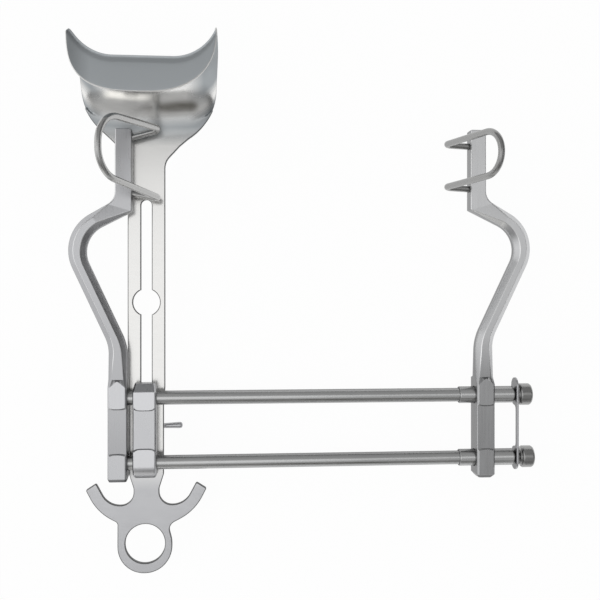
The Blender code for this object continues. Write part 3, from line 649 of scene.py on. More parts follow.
def edge_group():
    """Painted highlight along edges: one less the match between the true and a softened normal.
    """
    name = "Rubbed edges"
    if name in bpy.data.node_groups:
        return bpy.data.node_groups[name]
    inputs = (("Gain", "NodeSocketFloat", 6.0),)
    tree, start, end = new_group(name, inputs, (("Mask", "NodeSocketFloat"),))
    soft = tree.nodes.new("ShaderNodeBevel")
    soft.samples = 6
    soft.inputs["Radius"].default_value = 0.0007
    true = tree.nodes.new("ShaderNodeNewGeometry")
    match = tree.nodes.new("ShaderNodeVectorMath")
    match.operation = "DOT_PRODUCT"
    tree.links.new(soft.outputs[0], match.inputs[0])
    tree.links.new(true.outputs["Normal"], match.inputs[1])
    away = math_node(tree, "SUBTRACT", 1.0, match.outputs["Value"])
    mask = math_node(tree, "MULTIPLY", away, start.outputs["Gain"], clamp=True)
    tree.links.new(mask, end.inputs["Mask"])
    return tree


def steep_group():
    """Painted shade on steep sides and a mask for painted highlights on ridges, both from the
    normal's rise along Z.
    """
    name = "Steep sides"
    if name in bpy.data.node_groups:
        return bpy.data.node_groups[name]
    inputs = (
        ("Normal", "NodeSocketVector", None),
        ("Darkest", "NodeSocketFloat", 0.42),
        ("Flat from", "NodeSocketFloat", 0.9),
    )
    outputs = (("Tone", "NodeSocketFloat"), ("Ridge", "NodeSocketFloat"))
    tree, start, end = new_group(name, inputs, outputs)
    split = tree.nodes.new("ShaderNodeSeparateXYZ")
    tree.links.new(start.outputs["Normal"], split.inputs[0])
    rise = math_node(tree, "ABSOLUTE", split.outputs["Z"])
    climb = map_range(tree, rise, 0.74, 0.84, 0, 1)
    ridge = math_node(tree, "MULTIPLY", climb, map_range(tree, rise, 0.9, 0.985, 1, 0))
    tree.links.new(ridge, end.inputs["Ridge"])
    tone = map_range(tree, rise, 0.1, 0.9, 0, 1)
    tree.links.new(start.outputs["Darkest"], tone.node.inputs["To Min"])
    tree.links.new(start.outputs["Flat from"], tone.node.inputs["From Max"])
    tree.links.new(tone, end.inputs["Tone"])
    return tree


def place_group(tree, group, **values):
    """Put a node group in a material and set its inputs."""
    node = tree.nodes.new("ShaderNodeGroup")
    node.node_tree = group
    for label, value in values.items():
        node.inputs[label].default_value = value
    return node


def mixed_colour(tree, factor, first, second):
    """Mix two colours or colour sockets by a factor, and return the result."""
    node = tree.nodes.new("ShaderNodeMix")
    node.data_type = "RGBA"
    tree.links.new(factor, node.inputs["Factor"])
    for socket, value in zip((node.inputs[6], node.inputs[7]), (first, second)):
        if isinstance(value, bpy.types.NodeSocket):
            tree.links.new(value, socket)
        else:
            socket.default_value = (*value, 1.0)
    return node.outputs[2]


def map_range(tree, value, low, high, start, end):
    """Map a value from one range to another, held at its ends."""
    node = tree.nodes.new("ShaderNodeMapRange")
    tree.links.new(value, node.inputs["Value"])
    labels = ("From Min", "From Max", "To Min", "To Max")
    for label, number in zip(labels, (low, high, start, end)):
        node.inputs[label].default_value = number
    return node.outputs["Result"]


def tinted(colour_value, factor):
    """Return a colour made lighter or darker."""
    return tuple(min(1.0, part * factor) for part in colour_value)


def steel(name, base, roughness, stretch, grain):
    """Make a steel finish: uneven tone, grinding marks in the gloss, and a painted highlight
    along the edges.
    """
    if name in bpy.data.materials:
        return bpy.data.materials[name]
    material = bpy.data.materials.new(name)
    material.use_nodes = True
    tree = material.node_tree
    shader = tree.nodes["Principled BSDF"]
    shader.inputs["Metallic"].default_value = 1.0
    place = tree.nodes.new("ShaderNodeTexCoord").outputs["Object"]
    marks = place_group(tree, grain_group(), Stretch=stretch)
    tree.links.new(place, marks.inputs["Vector"])
    tone = marks.outputs["Tone"]
    edges = place_group(tree, edge_group(), Gain=3.0)
    shades = tinted(base, 0.95), tinted(base, 1.05)
    plain = mixed_colour(tree, map_range(tree, tone, *TONE_SPAN, 0, 1), *shades)
    # Painted highlight: a lighter copy of the colour along the edges
    painted_highlight = mixed_colour(tree, edges.outputs["Mask"], plain, tinted(base, 1.2))
    tree.links.new(painted_highlight, shader.inputs["Base Color"])
    gloss = map_range(tree, tone, *TONE_SPAN, roughness * 0.85, roughness * 1.2)
    tree.links.new(gloss, shader.inputs["Roughness"])
    bump = tree.nodes.new("ShaderNodeBump")
    bump.inputs["Strength"].default_value = grain
    bump.inputs["Distance"].default_value = 0.00003
    tree.links.new(marks.outputs["Height"], bump.inputs["Height"])
    tree.links.new(bump.outputs["Normal"], shader.inputs["Normal"])
    return material


def darkened(tree, tone):
    """Multiply a finish's colour by a tone."""
    shader = tree.nodes["Principled BSDF"]
    shade = tree.nodes.new("ShaderNodeMix")
    shade.data_type = "RGBA"
    shade.blend_type = "MULTIPLY"
    shade.inputs["Factor"].default_value = 1.0
    before = shader.inputs["Base Color"].links[0].from_socket
    tree.links.new(before, shade.inputs[6])
    tree.links.new(tone, shade.inputs[7])
    tree.links.new(shade.outputs[2], shader.inputs["Base Color"])


def toned(material, axis, bands):
    """Change a finish's tone along an object axis.

    Each band is a low and a high coordinate in metres, with the tone at each; the tones
    of all bands multiply the colour.
    """
    tree = material.node_tree
    split = tree.nodes.new("ShaderNodeSeparateXYZ")
    tree.links.new(tree.nodes.new("ShaderNodeTexCoord").outputs["Object"], split.inputs[0])
    for low, high, start, end in bands:
        darkened(tree, map_range(tree, split.outputs[axis], low, high, start, end))


def steep_sides(material, darkest, flat_from):
    """Paint shade on the steep sides of a piece, so that they are darker than the faces that lie
    flat.
    """
    tree = material.node_tree
    values = {"Darkest": darkest, "Flat from": flat_from}
    steep = place_group(tree, steep_group(), **values)
    normal = tree.nodes.new("ShaderNodeTexCoord").outputs["Normal"]
    tree.links.new(normal, steep.inputs["Normal"])
    darkened(tree, steep.outputs["Tone"])
    return steep


def paint_ridge_highlight(material, steep):
    """Paint a highlight along the ridges of an arm, above its block."""
    tree = material.node_tree
    shader = tree.nodes["Principled BSDF"]
    split = tree.nodes.new("ShaderNodeSeparateXYZ")
    tree.links.new(tree.nodes.new("ShaderNodeTexCoord").outputs["Object"], split.inputs[0])
    above = map_range(tree, split.outputs["Y"], 0.031, 0.038, 0, 0.85)
    ridge = math_node(tree, "MULTIPLY", steep.outputs["Ridge"], above)
    base = shader.inputs["Base Color"]
    painted_highlight = mixed_colour(tree, ridge, base.links[0].from_socket, (1.0, 1.0, 1.0))
    tree.links.new(painted_highlight, base)


def finish(name):
    """Return one of the instrument's finishes: its colour, its gloss and how its marks run."""
    if name in bpy.data.materials:
        return bpy.data.materials[name]
    _, looks, _ = settings()
    # The sliding arm's wire is a darker copy of the brushed steel: painted shade
    shaded_wire = tinted(looks.brushed_colour, 0.72)
    dull_screw = tinted(looks.brushed_colour, 0.7)
    rows = {
        "Bright shank steel": (looks.bright_colour, looks.bright_roughness, (500.0, 40.0, 500.0)),
        "Satin arm steel": (looks.satin_colour, looks.satin_roughness, ARM_STRETCH),
        "Dull-lit arm steel": (looks.shade_colour, looks.satin_roughness, ARM_STRETCH),
        "Satin block steel": (looks.satin_colour, looks.satin_roughness, (900.0, 70.0, 900.0)),
        "Brushed wire steel": (looks.brushed_colour, looks.brushed_roughness, WIRE_STRETCH),
        "Dull wire steel": (shaded_wire, looks.brushed_roughness, WIRE_STRETCH),
        "Ground rod steel": (looks.rod_colour, looks.rod_roughness, (60.0, 300.0, 300.0)),
        "Ground sleeve steel": (looks.sleeve_colour, looks.rod_roughness, (90.0, 300.0, 300.0)),
        "Turned screw steel": (dull_screw, looks.brushed_roughness, (1500.0, 90.0, 90.0)),
    }
    base, roughness, stretch = rows[name]
    material = steel(name, tuple(base), roughness, stretch, looks.grain)
    # Painted light and shade along each arm's height
    if name == "Satin arm steel":
        toned(material, "Y", FIXED_ARM_BANDS)
    if name == "Dull-lit arm steel":
        toned(material, "Y", SLIDING_ARM_BANDS)
    if name in RELIEF_TONES:
        # Darker below the bosses' faces: the ground reliefs, and on the arm pieces painted shade
        # over the arm
        toned(material, "Z", ((0.0131, 0.0137, RELIEF_TONES[name], 1.0),))
        # Painted shade on the steep sides of the arms and blocks
        steep = steep_sides(material, 0.3, 0.88)
        if "arm" in name:
            # Painted shade on the block's bottom bevel, and a painted highlight along the arm's
            # ridges
            foot = (BLOCK_FEET[int("Dull" in name)] + BLOCK_END_BEVEL) * MM
            toned(material, "Y", ((foot - 0.0003, foot + 0.0001, 0.42, 1.0),))
            paint_ridge_highlight(material, steep)
    if "Ground" in name:
        # Painted shade on the sides of the rods and sleeves
        steep_sides(material, 0.2, 0.98)
    return material


def blade_steel():
    """Make the centre blade's finish.

    The shank and the middle of the bend are polished, the lip is blasted and the handle is satin.
    The flare, the wings and the wall under the lip are rougher and carry painted shade, the lip
    carries painted shade towards its left end, the plate's rounded edges a painted dark outline,
    and the lip's edge a painted highlight.
    """
    name = "Centre blade steel"
    _, looks, _ = settings()
    base = tuple(looks.bright_colour)
    material = steel(name, base, looks.bright_roughness, (120.0, 500.0, 500.0), looks.grain)
    tree = material.node_tree
    shader = tree.nodes["Principled BSDF"]
    shader.inputs["Specular Tint"].default_value = (0.6, 0.6, 0.6, 1.0)
    rough_shaded_parts, lip, lip_unshaded, handle = blade_masks(tree)
    tone = shader.inputs["Base Color"].links[0].from_socket
    gloss = shader.inputs["Roughness"].links[0].from_socket
    blasted = tuple(looks.lip_colour)
    # Painted shade at the lip's left end: a darker copy of the blasted colour there
    lip_tone = mixed_colour(tree, lip_unshaded, tinted(blasted, 0.62), blasted)
    # Painted shade, a darker copy of the blasted colour, over the flare, the wings and the wall
    # under the lip
    tone = mixed_colour(tree, rough_shaded_parts, tone, tinted(blasted, 0.84))
    tone = mixed_colour(tree, handle, tone, tinted(looks.satin_colour, 0.9))
    tone = mixed_colour(tree, lip, tone, lip_tone)
    edge = tree.nodes.new("ShaderNodeAttribute")
    edge.attribute_name = "painted_edge_mask"
    flat = math_node(tree, "SUBTRACT", 1.0, lip)
    # Painted dark outline: painted shade on the plate's rounded edges, off the lip
    dark = math_node(tree, "MULTIPLY", edge.outputs["Fac"], flat)
    tone = mixed_colour(tree, dark, tone, tinted(looks.rod_colour, 0.3))
    # Painted highlight on the lip's rounded edge
    painted_highlight = math_node(tree, "MULTIPLY", edge.outputs["Fac"], lip)
    tone = mixed_colour(tree, painted_highlight, tone, base)
    tree.links.new(tone, shader.inputs["Base Color"])
    soft = math_node(tree, "MAXIMUM", math_node(tree, "MAXIMUM", rough_shaded_parts, handle), dark)
    soft = math_node(tree, "MAXIMUM", soft, lip)
    extra = math_node(tree, "MULTIPLY", soft, 0.16)
    tree.links.new(math_node(tree, "ADD", gloss, extra), shader.inputs["Roughness"])
    return material


def blade_masks(tree):
    """Return the masks of the painted shade on the flare, wings and upper wall, of the lip, of
    the lip away from its shaded left end, and of the handle.
    """
    place = tree.nodes.new("ShaderNodeTexCoord").outputs["Object"]
    split = tree.nodes.new("ShaderNodeSeparateXYZ")
    tree.links.new(place, split.inputs[0])
    x, y, z = (split.outputs[axis] for axis in "XYZ")
    middle = (CARRIAGE_X + BLADE_SHIFT) * MM
    off_middle = math_node(tree, "ABSOLUTE", math_node(tree, "SUBTRACT", x, middle))
    # Painted shade, with more roughness, on the flare past the shank and on its raised wings
    past_shank = map_range(tree, y, 0.155, 0.166, 0, 1)
    low = map_range(tree, z, 0.0, 0.0022, 1, 0)
    raised = map_range(tree, z, 0.003, 0.008, 0, 1)
    side = math_node(tree, "MULTIPLY", raised, map_range(tree, off_middle, 0.020, 0.030, 0, 1))
    flare = math_node(tree, "MULTIPLY", past_shank, math_node(tree, "MAXIMUM", low, side))
    # and on the wall from 12 mm up, in the lip's shadow
    rough_shaded_parts = math_node(tree, "MAXIMUM", flare, map_range(tree, z, 0.012, 0.022, 0, 1))
    lip = map_range(tree, z, 0.0444, 0.046, 0, 1)
    # Nought at the lip's left end, where painted shade goes, rising to one from -19 to -9 mm
    # along X
    lip_unshaded = map_range(tree, x, -0.019, -0.009, 0, 1)
    handle = map_range(tree, y, -0.018, -0.034, 0, 1)
    return rough_shaded_parts, lip, lip_unshaded, handle


# Arms and wire blades


def offset_corners(corners, half_widths, side):
    """Shift each stretch of a path sideways, and return where the shifted stretches meet."""
    along = unit(np.diff(corners, axis=0))
    normal = np.stack((along[:, 1], -along[:, 0], 0 * along[:, 0]), -1) * side
    shift = normal * half_widths[:, None]
    start = corners[:-1] + shift
    end = corners[1:] + shift
    between = start[1:] - start[:-1]
    cross = along[:-1, 0] * along[1:, 1] - along[:-1, 1] * along[1:, 0]
    reach = (between[:, 0] * along[1:, 1] - between[:, 1] * along[1:, 0]) / cross
    return np.vstack((start[:1], start[:-1] + along[:-1] * reach[:, None], end[-1:]))


def arm_edges(side, form, steps):
    """Return the left and right edge lines of an arm, from its block to its tip."""
    bend_height, crest_reach, crest_height, elbow_height, tip_height, end_shift = form
    corners = np.array(
        (
            (0, BLOCK_TOP + BLOCK_EDGE, 0),
            (0, bend_height, 0),
            (side * crest_reach, crest_height, 0),
            (-side * end_shift, elbow_height, 0),
            (-side * end_shift, tip_height, 0),
        )
    )
    edges = []
    for way in (-1, 1):
        outer = int(way == side)
        places = offset_corners(corners, np.array(ARM_WIDTHS) / 2, way)
        radii = (0, ARM_BEND_RADII[outer], ARM_CREST_RADII[outer], ARM_ELBOW_RADII[outer], 0)
        edges.append(rounded_line([(*place, r) for place, r in zip(places, radii)], steps))
    return edges


def arm_rings(side, form):
    """Return the rings of an arm above its block.

    The section keeps its facets up to the crest, and then turns flat towards the end.
    """
    steps = 22
    left, right = arm_edges(side, form, steps)
    bent = 2 * (steps + 1) + 1
    rest = len(left) - bent
    half = np.append(np.full(bent, ARM_THICKNESS / 2), np.full(rest, ARM_END_THICKNESS / 2))
    facet = np.append(np.full(bent, ARM_FACET), np.full(rest, ARM_END_EDGE))
    facet[0] = ARM_ROOT_FACET
    rings = chamfered_rings(left, right, half, -half, facet, facet)
    centre = rings[-1].mean(axis=0)
    cap = centre + (rings[-1] - centre) * (1 - 2 * ARM_END_EDGE / ARM_WIDTHS[-1])
    rings[-1, :, 1] -= ARM_END_EDGE
    return np.vstack((rings, cap[None]))


def block_rings(foot, end_inset):
    """Return the rings of an arm's block: two bosses with a ground relief between.

    The wheel that ground the relief left curved shoulders, and the upper boss ends in two
    slopes that meet in the middle. A row is a height, half width, front, back, facet, and
    the bow of its front with the bow's power.
    """
    half = BLOCK_WIDTH / 2
    boss = ROD_SPACING / 2 - BLOCK_BOSS / 2
    full = ROD_HEIGHT
    low = ROD_HEIGHT - BLOCK_RELIEF
    bevel = BLOCK_END_BEVEL
    rise = SHOULDER_RISE
    high_bow, low_bow = SHOULDER_BOWS
    power = SHOULDER_POWER
    rows = (
        (foot, half - end_inset, full - bevel, bevel - full, BLOCK_FACET, 0.0, 2.0),
        (foot + bevel, half, full, -full, BLOCK_FACET, 0.0, 2.0),
        (-boss, half, full, -full, BLOCK_FACET, -high_bow, power),
        (-boss + rise, half, low, -full, RELIEF_FACET, -low_bow, power),
        (boss - rise, half, low, -full, RELIEF_FACET, low_bow, power),
        (boss, half, full, -full, BLOCK_FACET, high_bow, power),
        (BLOCK_TOP, half, full, -full, BLOCK_FACET, -BOSS_SLOPE, BOSS_SLOPE_POWER),
    )
    height, reach, front, back, facet, bow, power = np.array(rows).T
    nothing = np.zeros(len(rows))
    left = np.stack((-reach, height, nothing), -1)
    right = np.stack((reach, height, nothing), -1)
    return chamfered_rings(left, right, front, back, facet, BLOCK_BACK_EDGE, bow, power)


def wire_legs(side, arm_form, wire_form):
    """Return the seat and the tip of each leg of a wire, the lower one first."""
    tip_height, end_shift = arm_form[-2:]
    face_x = -side * (end_shift + ARM_WIDTHS[-1] / 2)
    legs = []
    for seat_drop, tip_drop in zip(wire_form[0:2], wire_form[2:4]):
        face = np.array((face_x, tip_height - seat_drop, 0.0))
        tip = np.array((-side * wire_form[6], tip_height - tip_drop, 0.0))
        legs.append((face - unit(tip - face) * WIRE_SEAT_DEPTH, face, tip))
    return legs


def build_arm(name, side, arm_form, wire_form, x, material):
    """Build one arm with its block, rod bores and wire seats."""
    sizes, _, _ = settings()
    moving = int(side > 0)
    block = softened(block_rings(BLOCK_FEET[moving], BLOCK_END_INSETS[moving]), BLOCK_SOFTENING)
    rings = np.vstack((block, softened(arm_rings(side, arm_form), ARM_SOFTENING)))
    place = np.array((x, 0, ROD_HEIGHT))
    points, faces = lofted(rings)
    mesh = make_mesh(name, points + place, faces, FACET_ANGLE)
    arm = add_piece(name, mesh, material, name.replace("_piece", ""))
    sleeve = box_of("upper_sleeve") if moving else box_of("upper_rod")
    bore = (sleeve[1][1] - sleeve[0][1]) / 2 + GAP
    reach = BLOCK_WIDTH / 2 + 1
    for height in (-ROD_SPACING / 2, ROD_SPACING / 2):
        hole, sides = turned([(-reach, bore, 0), (reach, bore, 0)], sizes.round_sides)
        cut(arm, hole + place + (0, height, 0), sides)
    for seat, face, tip in wire_legs(side, arm_form, wire_form):
        outside = face + unit(tip - face) * 1.5
        line = seat + (outside - seat) * np.linspace(0, 1, 4)[:, None]
        cut(arm, *moved(tube(line, sizes.wire_diameter / MM / 2 + RUNNING_GAP, 32), place))
    return keep_flat(arm)


def moved(shape, place):
    """Shift a shape's points."""
    points, faces = shape
    return points + place, faces


def build_wire(name, side, arm_form, wire_form, x, material):
    """Bend one wire: inwards from the arm, back out as it rises, and round its crown."""
    sizes, _, _ = settings()
    tip_height = arm_form[-2]
    lower, upper = wire_legs(side, arm_form, wire_form)
    crown_x = side * wire_form[7]
    low, high = (tip_height - drop for drop in wire_form[4:6])
    radius = (high - low) / 2
    start, stop = (seat + unit(tip - seat) * GAP for seat, _, tip in (lower, upper))
    corners = [
        (*start, 0.0),
        (*lower[2], WIRE_TIP_BEND),
        (crown_x, low, WIRE_RISE, radius),
        (crown_x, high, WIRE_RISE, radius),
        (*upper[2], WIRE_TIP_BEND),
        (*stop, 0.0),
    ]
    path = rounded_line(corners, 24) + (x, 0, ROD_HEIGHT)
    points, faces = tube(path, sizes.wire_diameter / MM / 2, WIRE_SIDES)
    return add_piece(name, make_mesh(name, points, faces), material, name.replace("_piece", ""))


FIXED_LOOKS = ("Satin arm steel", "Brushed wire steel")
SLIDING_LOOKS = ("Dull-lit arm steel", "Dull wire steel")

# Name, side, form of the arm and of its wire, place along X, and the looks of both
ARMS = (
    ("fixed", -1, FIXED_ARM_FORM, FIXED_WIRE_FORM, 0.0, FIXED_LOOKS),
    ("sliding", 1, SLIDING_ARM_FORM, SLIDING_WIRE_FORM, ARM_SPREAD, SLIDING_LOOKS),
)


class RETRACTOR_OT_arms(bpy.types.Operator):
    """Build the fixed and the sliding arm"""

    bl_idname = "retractor.arms"
    bl_label = "Arms"

    def execute(self, context):
        for label, side, arm_form, wire_form, x, looks in ARMS:
            build_arm(f"{label}_arm_piece", side, arm_form, wire_form, x, finish(looks[0]))
        return {"FINISHED"}


class RETRACTOR_OT_wires(bpy.types.Operator):
    """Bend the two wire side blades"""

    bl_idname = "retractor.wires"
    bl_label = "Wire blades"

    def execute(self, context):
        for label, side, arm_form, wire_form, x, looks in ARMS:
            name = f"{label}_wire_blade_piece"
            build_wire(name, side, arm_form, wire_form, x, finish(looks[1]))
        return {"FINISHED"}


# Turned pieces


def span_x(node):
    """Return the ends of a node along X, its radius and its middle in Y and Z."""
    low, high = box_of(node)
    return low[0], high[0], (high[1] - low[1]) / 2, (low[1:] + high[1:]) / 2


def add_turned(node, profile, material, middle, closed=False):
    """Turn a profile about a line along X through a middle point, in place of a node."""
    sizes, _, _ = settings()
    points, faces = turned(profile, sizes.round_sides, closed)
    points = points + (0, *middle)
    return keep_flat(add_piece(f"{node}_piece", make_mesh(node, points, faces), material, node))


class RETRACTOR_OT_rods(bpy.types.Operator):
    """Turn the guide rods and the sleeves of the sliding arm"""

    bl_idname = "retractor.rods"
    bl_label = "Rods and sleeves"

    def execute(self, context):
        hole = SCREW_SHANK_DIAMETER / 2 + GAP
        for label in ("upper", "lower"):
            first, last, radius, middle = span_x(f"{label}_rod")
            rod = [
                (first, radius - ROD_BEVEL, 0),
                (first + ROD_BEVEL, radius, 0.3),
                (last - ROD_BEVEL, radius, 0.3),
                (last, radius - ROD_BEVEL, 0.2),
                (last, hole, 0.1),
                (last - ROD_HOLE_DEPTH, hole, 0),
            ]
            add_turned(f"{label}_rod", rod, finish("Ground rod steel"), middle)
            first, last, outer, middle = span_x(f"{label}_sleeve")
            inner = radius + RUNNING_GAP
            sleeve = [
                (first + 1, inner, 0),
                (first, inner, 0.1),
                (first, outer, 0.5),
                (last, outer, 0.5),
                (last, inner, 0.1),
                (first + 1, inner, 0),
            ]
            steel_look = finish("Ground sleeve steel")
            add_turned(f"{label}_sleeve", sleeve, steel_look, middle, closed=True)
        return {"FINISHED"}


class RETRACTOR_OT_clamp(bpy.types.Operator):
    """Turn the clamp's stud, washer, round nut and pin lever"""

    bl_idname = "retractor.clamp"
    bl_label = "Clamp"

    def execute(self, context):
        low, high = box_of("clamp_stud")
        radius = (high[0] - low[0]) / 2
        stud = [
            (low[2], radius - THREAD_CHAMFER, 0),
            (low[2] + THREAD_CHAMFER, radius, 0.3),
            (high[2], radius, 0),
        ]
        self.stand("clamp_stud", stud, "Satin block steel", False)
        low, high = box_of("clamp_washer")
        rim = (high[0] - low[0]) / 2
        middle = (low[2] + high[2]) / 2
        washer = [
            (middle, STUD_HOLE, 0),
            (low[2], STUD_HOLE, 0.15),
            (low[2], rim, 0.3),
            (high[2], rim, 0.3),
            (high[2], STUD_HOLE, 0.15),
            (middle, STUD_HOLE, 0),
        ]
        self.stand("clamp_washer", washer, "Bright shank steel", True)
        low, high = box_of("clamp_nut")
        rim = (high[0] - low[0]) / 2
        nut = [
            (low[2] + 2, STUD_HOLE, 0),
            (low[2], STUD_HOLE, 0.2),
            (low[2], rim - NUT_BEVEL, 0.4),
            (low[2] + NUT_BEVEL, rim, 0.4),
            (high[2], rim, 0.3),
            (high[2], STUD_HOLE, 0.2),
            (low[2] + 2, STUD_HOLE, 0),
        ]
        piece = self.stand("clamp_nut", nut, "Satin block steel", True)
        turn = np.array(Matrix.Rotation(math.radians(LEVER_ANGLE), 3, "Z"))
        centre = np.array((CARRIAGE_X, 0, low[2] + NUT_HEIGHT / 2))
        thin = LEVER_DIAMETER / 2
        thick = LEVER_TIP_DIAMETER / 2
        seat = rim - LEVER_SEAT_DEPTH
        bore = thin + RUNNING_GAP
        hole, sides = turned([(seat, bore, 0), (rim + 1, bore, 0)], LEVER_SIDES)
        cut(piece, hole @ turn.T + centre, sides)
        lever = [
            (seat + GAP, thin, 0),
            (rim + 1, thin, 4),
            (LEVER_LENGTH - LEVER_TIP_LENGTH, thick, 2),
            (LEVER_LENGTH, thick, 1.3),
            (LEVER_LENGTH, 0.2, 0),
        ]
        points, faces = turned(lever, LEVER_SIDES)
        mesh = make_mesh("clamp_lever", points @ turn.T + centre, faces)
        add_piece("clamp_lever_piece", mesh, finish("Satin block steel"), "clamp_lever")
        return {"FINISHED"}

    def stand(self, node, profile, look, closed):
        """Turn a profile about the clamp's upright axis, in place of a node."""
        sizes, _, _ = settings()
        points, faces = turned(profile, sizes.round_sides, closed)
        points = upright(points) + (CARRIAGE_X, 0, 0)
        mesh = make_mesh(node, points, faces)
        return keep_flat(add_piece(f"{node}_piece", mesh, finish(look), node))


# Carriage


class RETRACTOR_OT_carriage(bpy.types.Operator):
    """Build the carriage with its sloped head and rounded foot"""

    bl_idname = "retractor.carriage"
    bl_label = "Carriage"

    def execute(self, context):
        sizes, _, _ = settings()
        reach = CARRIAGE_WIDTH / 2
        low = ROD_HEIGHT - CARRIAGE_RELIEF
        u = np.linspace(0, 1, 12)
        foot_height = -CARRIAGE_HALF + CARRIAGE_FOOT_ROUNDING * u
        foot_front = ROD_HEIGHT - CARRIAGE_END_DROP * (1 - u) ** ROUNDING_POWER
        foot_reach = reach - CARRIAGE_EDGE * np.clip(1 - u / 0.3, 0, 1) ** 2
        rise = CARRIAGE_SHOULDER_RISE
        body = np.array(
            (
                (-CARRIAGE_LOWER_BOSS, reach, ROD_HEIGHT, -1.3),
                (-CARRIAGE_LOWER_BOSS + rise, reach, low, -0.9),
                (CARRIAGE_UPPER_BOSS - rise, reach, low, 0.9),
                (CARRIAGE_UPPER_BOSS, reach, ROD_HEIGHT, 1.4),
                (CARRIAGE_HALF - CARRIAGE_TOP_BEVEL, reach, ROD_HEIGHT, 0),
                (CARRIAGE_HALF, reach - CARRIAGE_EDGE, ROD_HEIGHT - CARRIAGE_END_DROP, 0),
            )
        )
        height = np.append(foot_height, body[:, 0])
        width = np.append(foot_reach, body[:, 1])
        front = np.append(foot_front, body[:, 2])
        bow = np.append(0 * foot_front, body[:, 3])
        nothing = np.zeros(len(height))
        left = np.stack((-width, height, nothing), -1)
        right = np.stack((width, height, nothing), -1)
        edge = CARRIAGE_EDGE
        rings = chamfered_rings(left, right, front, -ROD_HEIGHT, edge, edge, bow, 5.0)
        place = np.array((CARRIAGE_X, 0, ROD_HEIGHT))
        points, faces = lofted(softened(rings, CARRIAGE_SOFTENING))
        mesh = make_mesh("carriage", points + place, faces, FACET_ANGLE)
        carriage = add_piece("carriage_piece", mesh, finish("Satin block steel"), "carriage")
        bore = span_x("upper_rod")[2] + RUNNING_GAP
        hole, sides = turned([(-reach - 1, bore, 0), (reach + 1, bore, 0)], sizes.round_sides)
        for rod in (-ROD_SPACING / 2, ROD_SPACING / 2):
            cut(carriage, hole + place + (0, rod, 0), sides)
        top = box_of("clamp_stud")[1][2] + GAP
        hole, sides = turned([(-1, STUD_HOLE, 0), (top, STUD_HOLE, 0)], sizes.round_sides)
        cut(carriage, upright(hole) + (CARRIAGE_X, 0, 0), sides)
        keep_flat(carriage)
        return {"FINISHED"}


# End link and thumb screws


class RETRACTOR_OT_end_fittings(bpy.types.Operator):
    """Build the thin end link and the two thumb screws"""

    bl_idname = "retractor.end_fittings"
    bl_label = "End link and screws"

    def execute(self, context):
        low, high = box_of("end_link")
        reach = LINK_HALF_DEPTH
        bar = reach - LINK_BAR_DEPTH
        upper = ROD_SPACING / 2 - LINK_EYE_RADIUS
        corners = [
            (0.0, reach, 0.0),
            (LINK_BOTTOM, reach, reach),
            (LINK_BOTTOM, -reach, reach),
            (-upper, -reach, reach),
            (-upper, bar, bar),
            (upper, bar, bar),
            (upper, -reach, reach),
            (LINK_TOP, -reach, reach),
            (LINK_TOP, reach, reach),
            (0.0, reach, 0.0),
        ]
        outline = rounded_line(corners, 12)[:-1]
        holes = [
            circle((height, 0), SCREW_SHANK_DIAMETER / 2 + GAP, HOLE_SIDES)
            for height in (-ROD_SPACING / 2, ROD_SPACING / 2)
        ]
        thickness = high[0] - low[0]
        points, faces = edged_plate(outline, holes, thickness, 0.3)
        points = points[:, [2, 0, 1]] + ((low[0] + high[0]) / 2, 0, ROD_HEIGHT)
        mesh = make_mesh("end_link", points, faces)
        keep_flat(add_piece("end_link_piece", mesh, finish("Satin block steel"), "end_link"))
        for label in ("upper", "lower"):
            self.thumb_screw(f"{label}_thumb_screw")
        return {"FINISHED"}

    def thumb_screw(self, node):
        """Turn a thumb screw: shank, collar and a bevelled head with a shallow groove."""
        first, last, head, middle = span_x(node)
        shank = SCREW_SHANK_DIAMETER / 2
        collar = SCREW_COLLAR_DIAMETER / 2
        start = last - SCREW_COLLAR_LENGTH - SCREW_HEAD_LENGTH
        under = start + SCREW_COLLAR_LENGTH
        profile = [
            (first, shank - THREAD_CHAMFER, 0),
            (first + THREAD_CHAMFER, shank, 0.3),
            (start, shank, 0.1),
            (start, collar, 0.2),
            (under, collar, 0.2),
            (under, head - 0.5, 0.5),
            (under + SCREW_BEVEL * 0.7, head, 0.5),
            (last - SCREW_BEVEL * 1.3, head, 0.8),
            (last - SCREW_BEVEL * 0.4, head - SCREW_BEVEL * 0.6, 0.8),
            (last, head - SCREW_BEVEL * 1.6, 0.8),
            (last, head * 0.45, 0.2),
            (last - SCREW_GROOVE, head * 0.38, 0.2),
            (last - SCREW_GROOVE, 0.1, 0),
        ]
        add_turned(node, profile, finish("Turned screw steel"), middle)


# Plates and the centre blade


def inward(loop, closed=True):
    """Return the direction at each point of an anticlockwise loop that points inside it."""
    if closed:
        along = np.roll(loop, -1, axis=0) - np.roll(loop, 1, axis=0)
    else:
        along = np.gradient(loop, axis=0)
    along = unit(along)
    return np.stack((-along[:, 1], along[:, 0], 0 * along[:, 0]), -1)


def edge_share(count, rings=EDGE_STEPS):
    """Return how far each ring round an edge takes painted shade, or a painted highlight on the
    lip: sin a past a small start.
    """
    a = np.linspace(0, RIGHT_ANGLE, rings + 1)
    share_out = np.clip((np.sin(a) - 0.1) / 0.4, 0, 1)
    return np.repeat(np.append(share_out, share_out[::-1]), count)


def edge_rings(middle, normal, outward, half, rounding, steps=EDGE_STEPS):
    """Return the rings of a rounded edge, from the front face round to the back face.

    At an angle a the edge stands out by rounding sin a, and lies at half the thickness
    less rounding (1 - cos a) from the middle. The back half mirrors the front half.
    """
    a = np.linspace(0, RIGHT_ANGLE, steps + 1)[:, None, None]
    deep = np.minimum(rounding, 0.96 * half)
    height = half - deep * (1 - np.cos(a))
    out = outward * rounding * np.sin(a)
    front = middle + out + normal * height
    back = middle + out - normal * height
    return np.concatenate((front, back[::-1]))


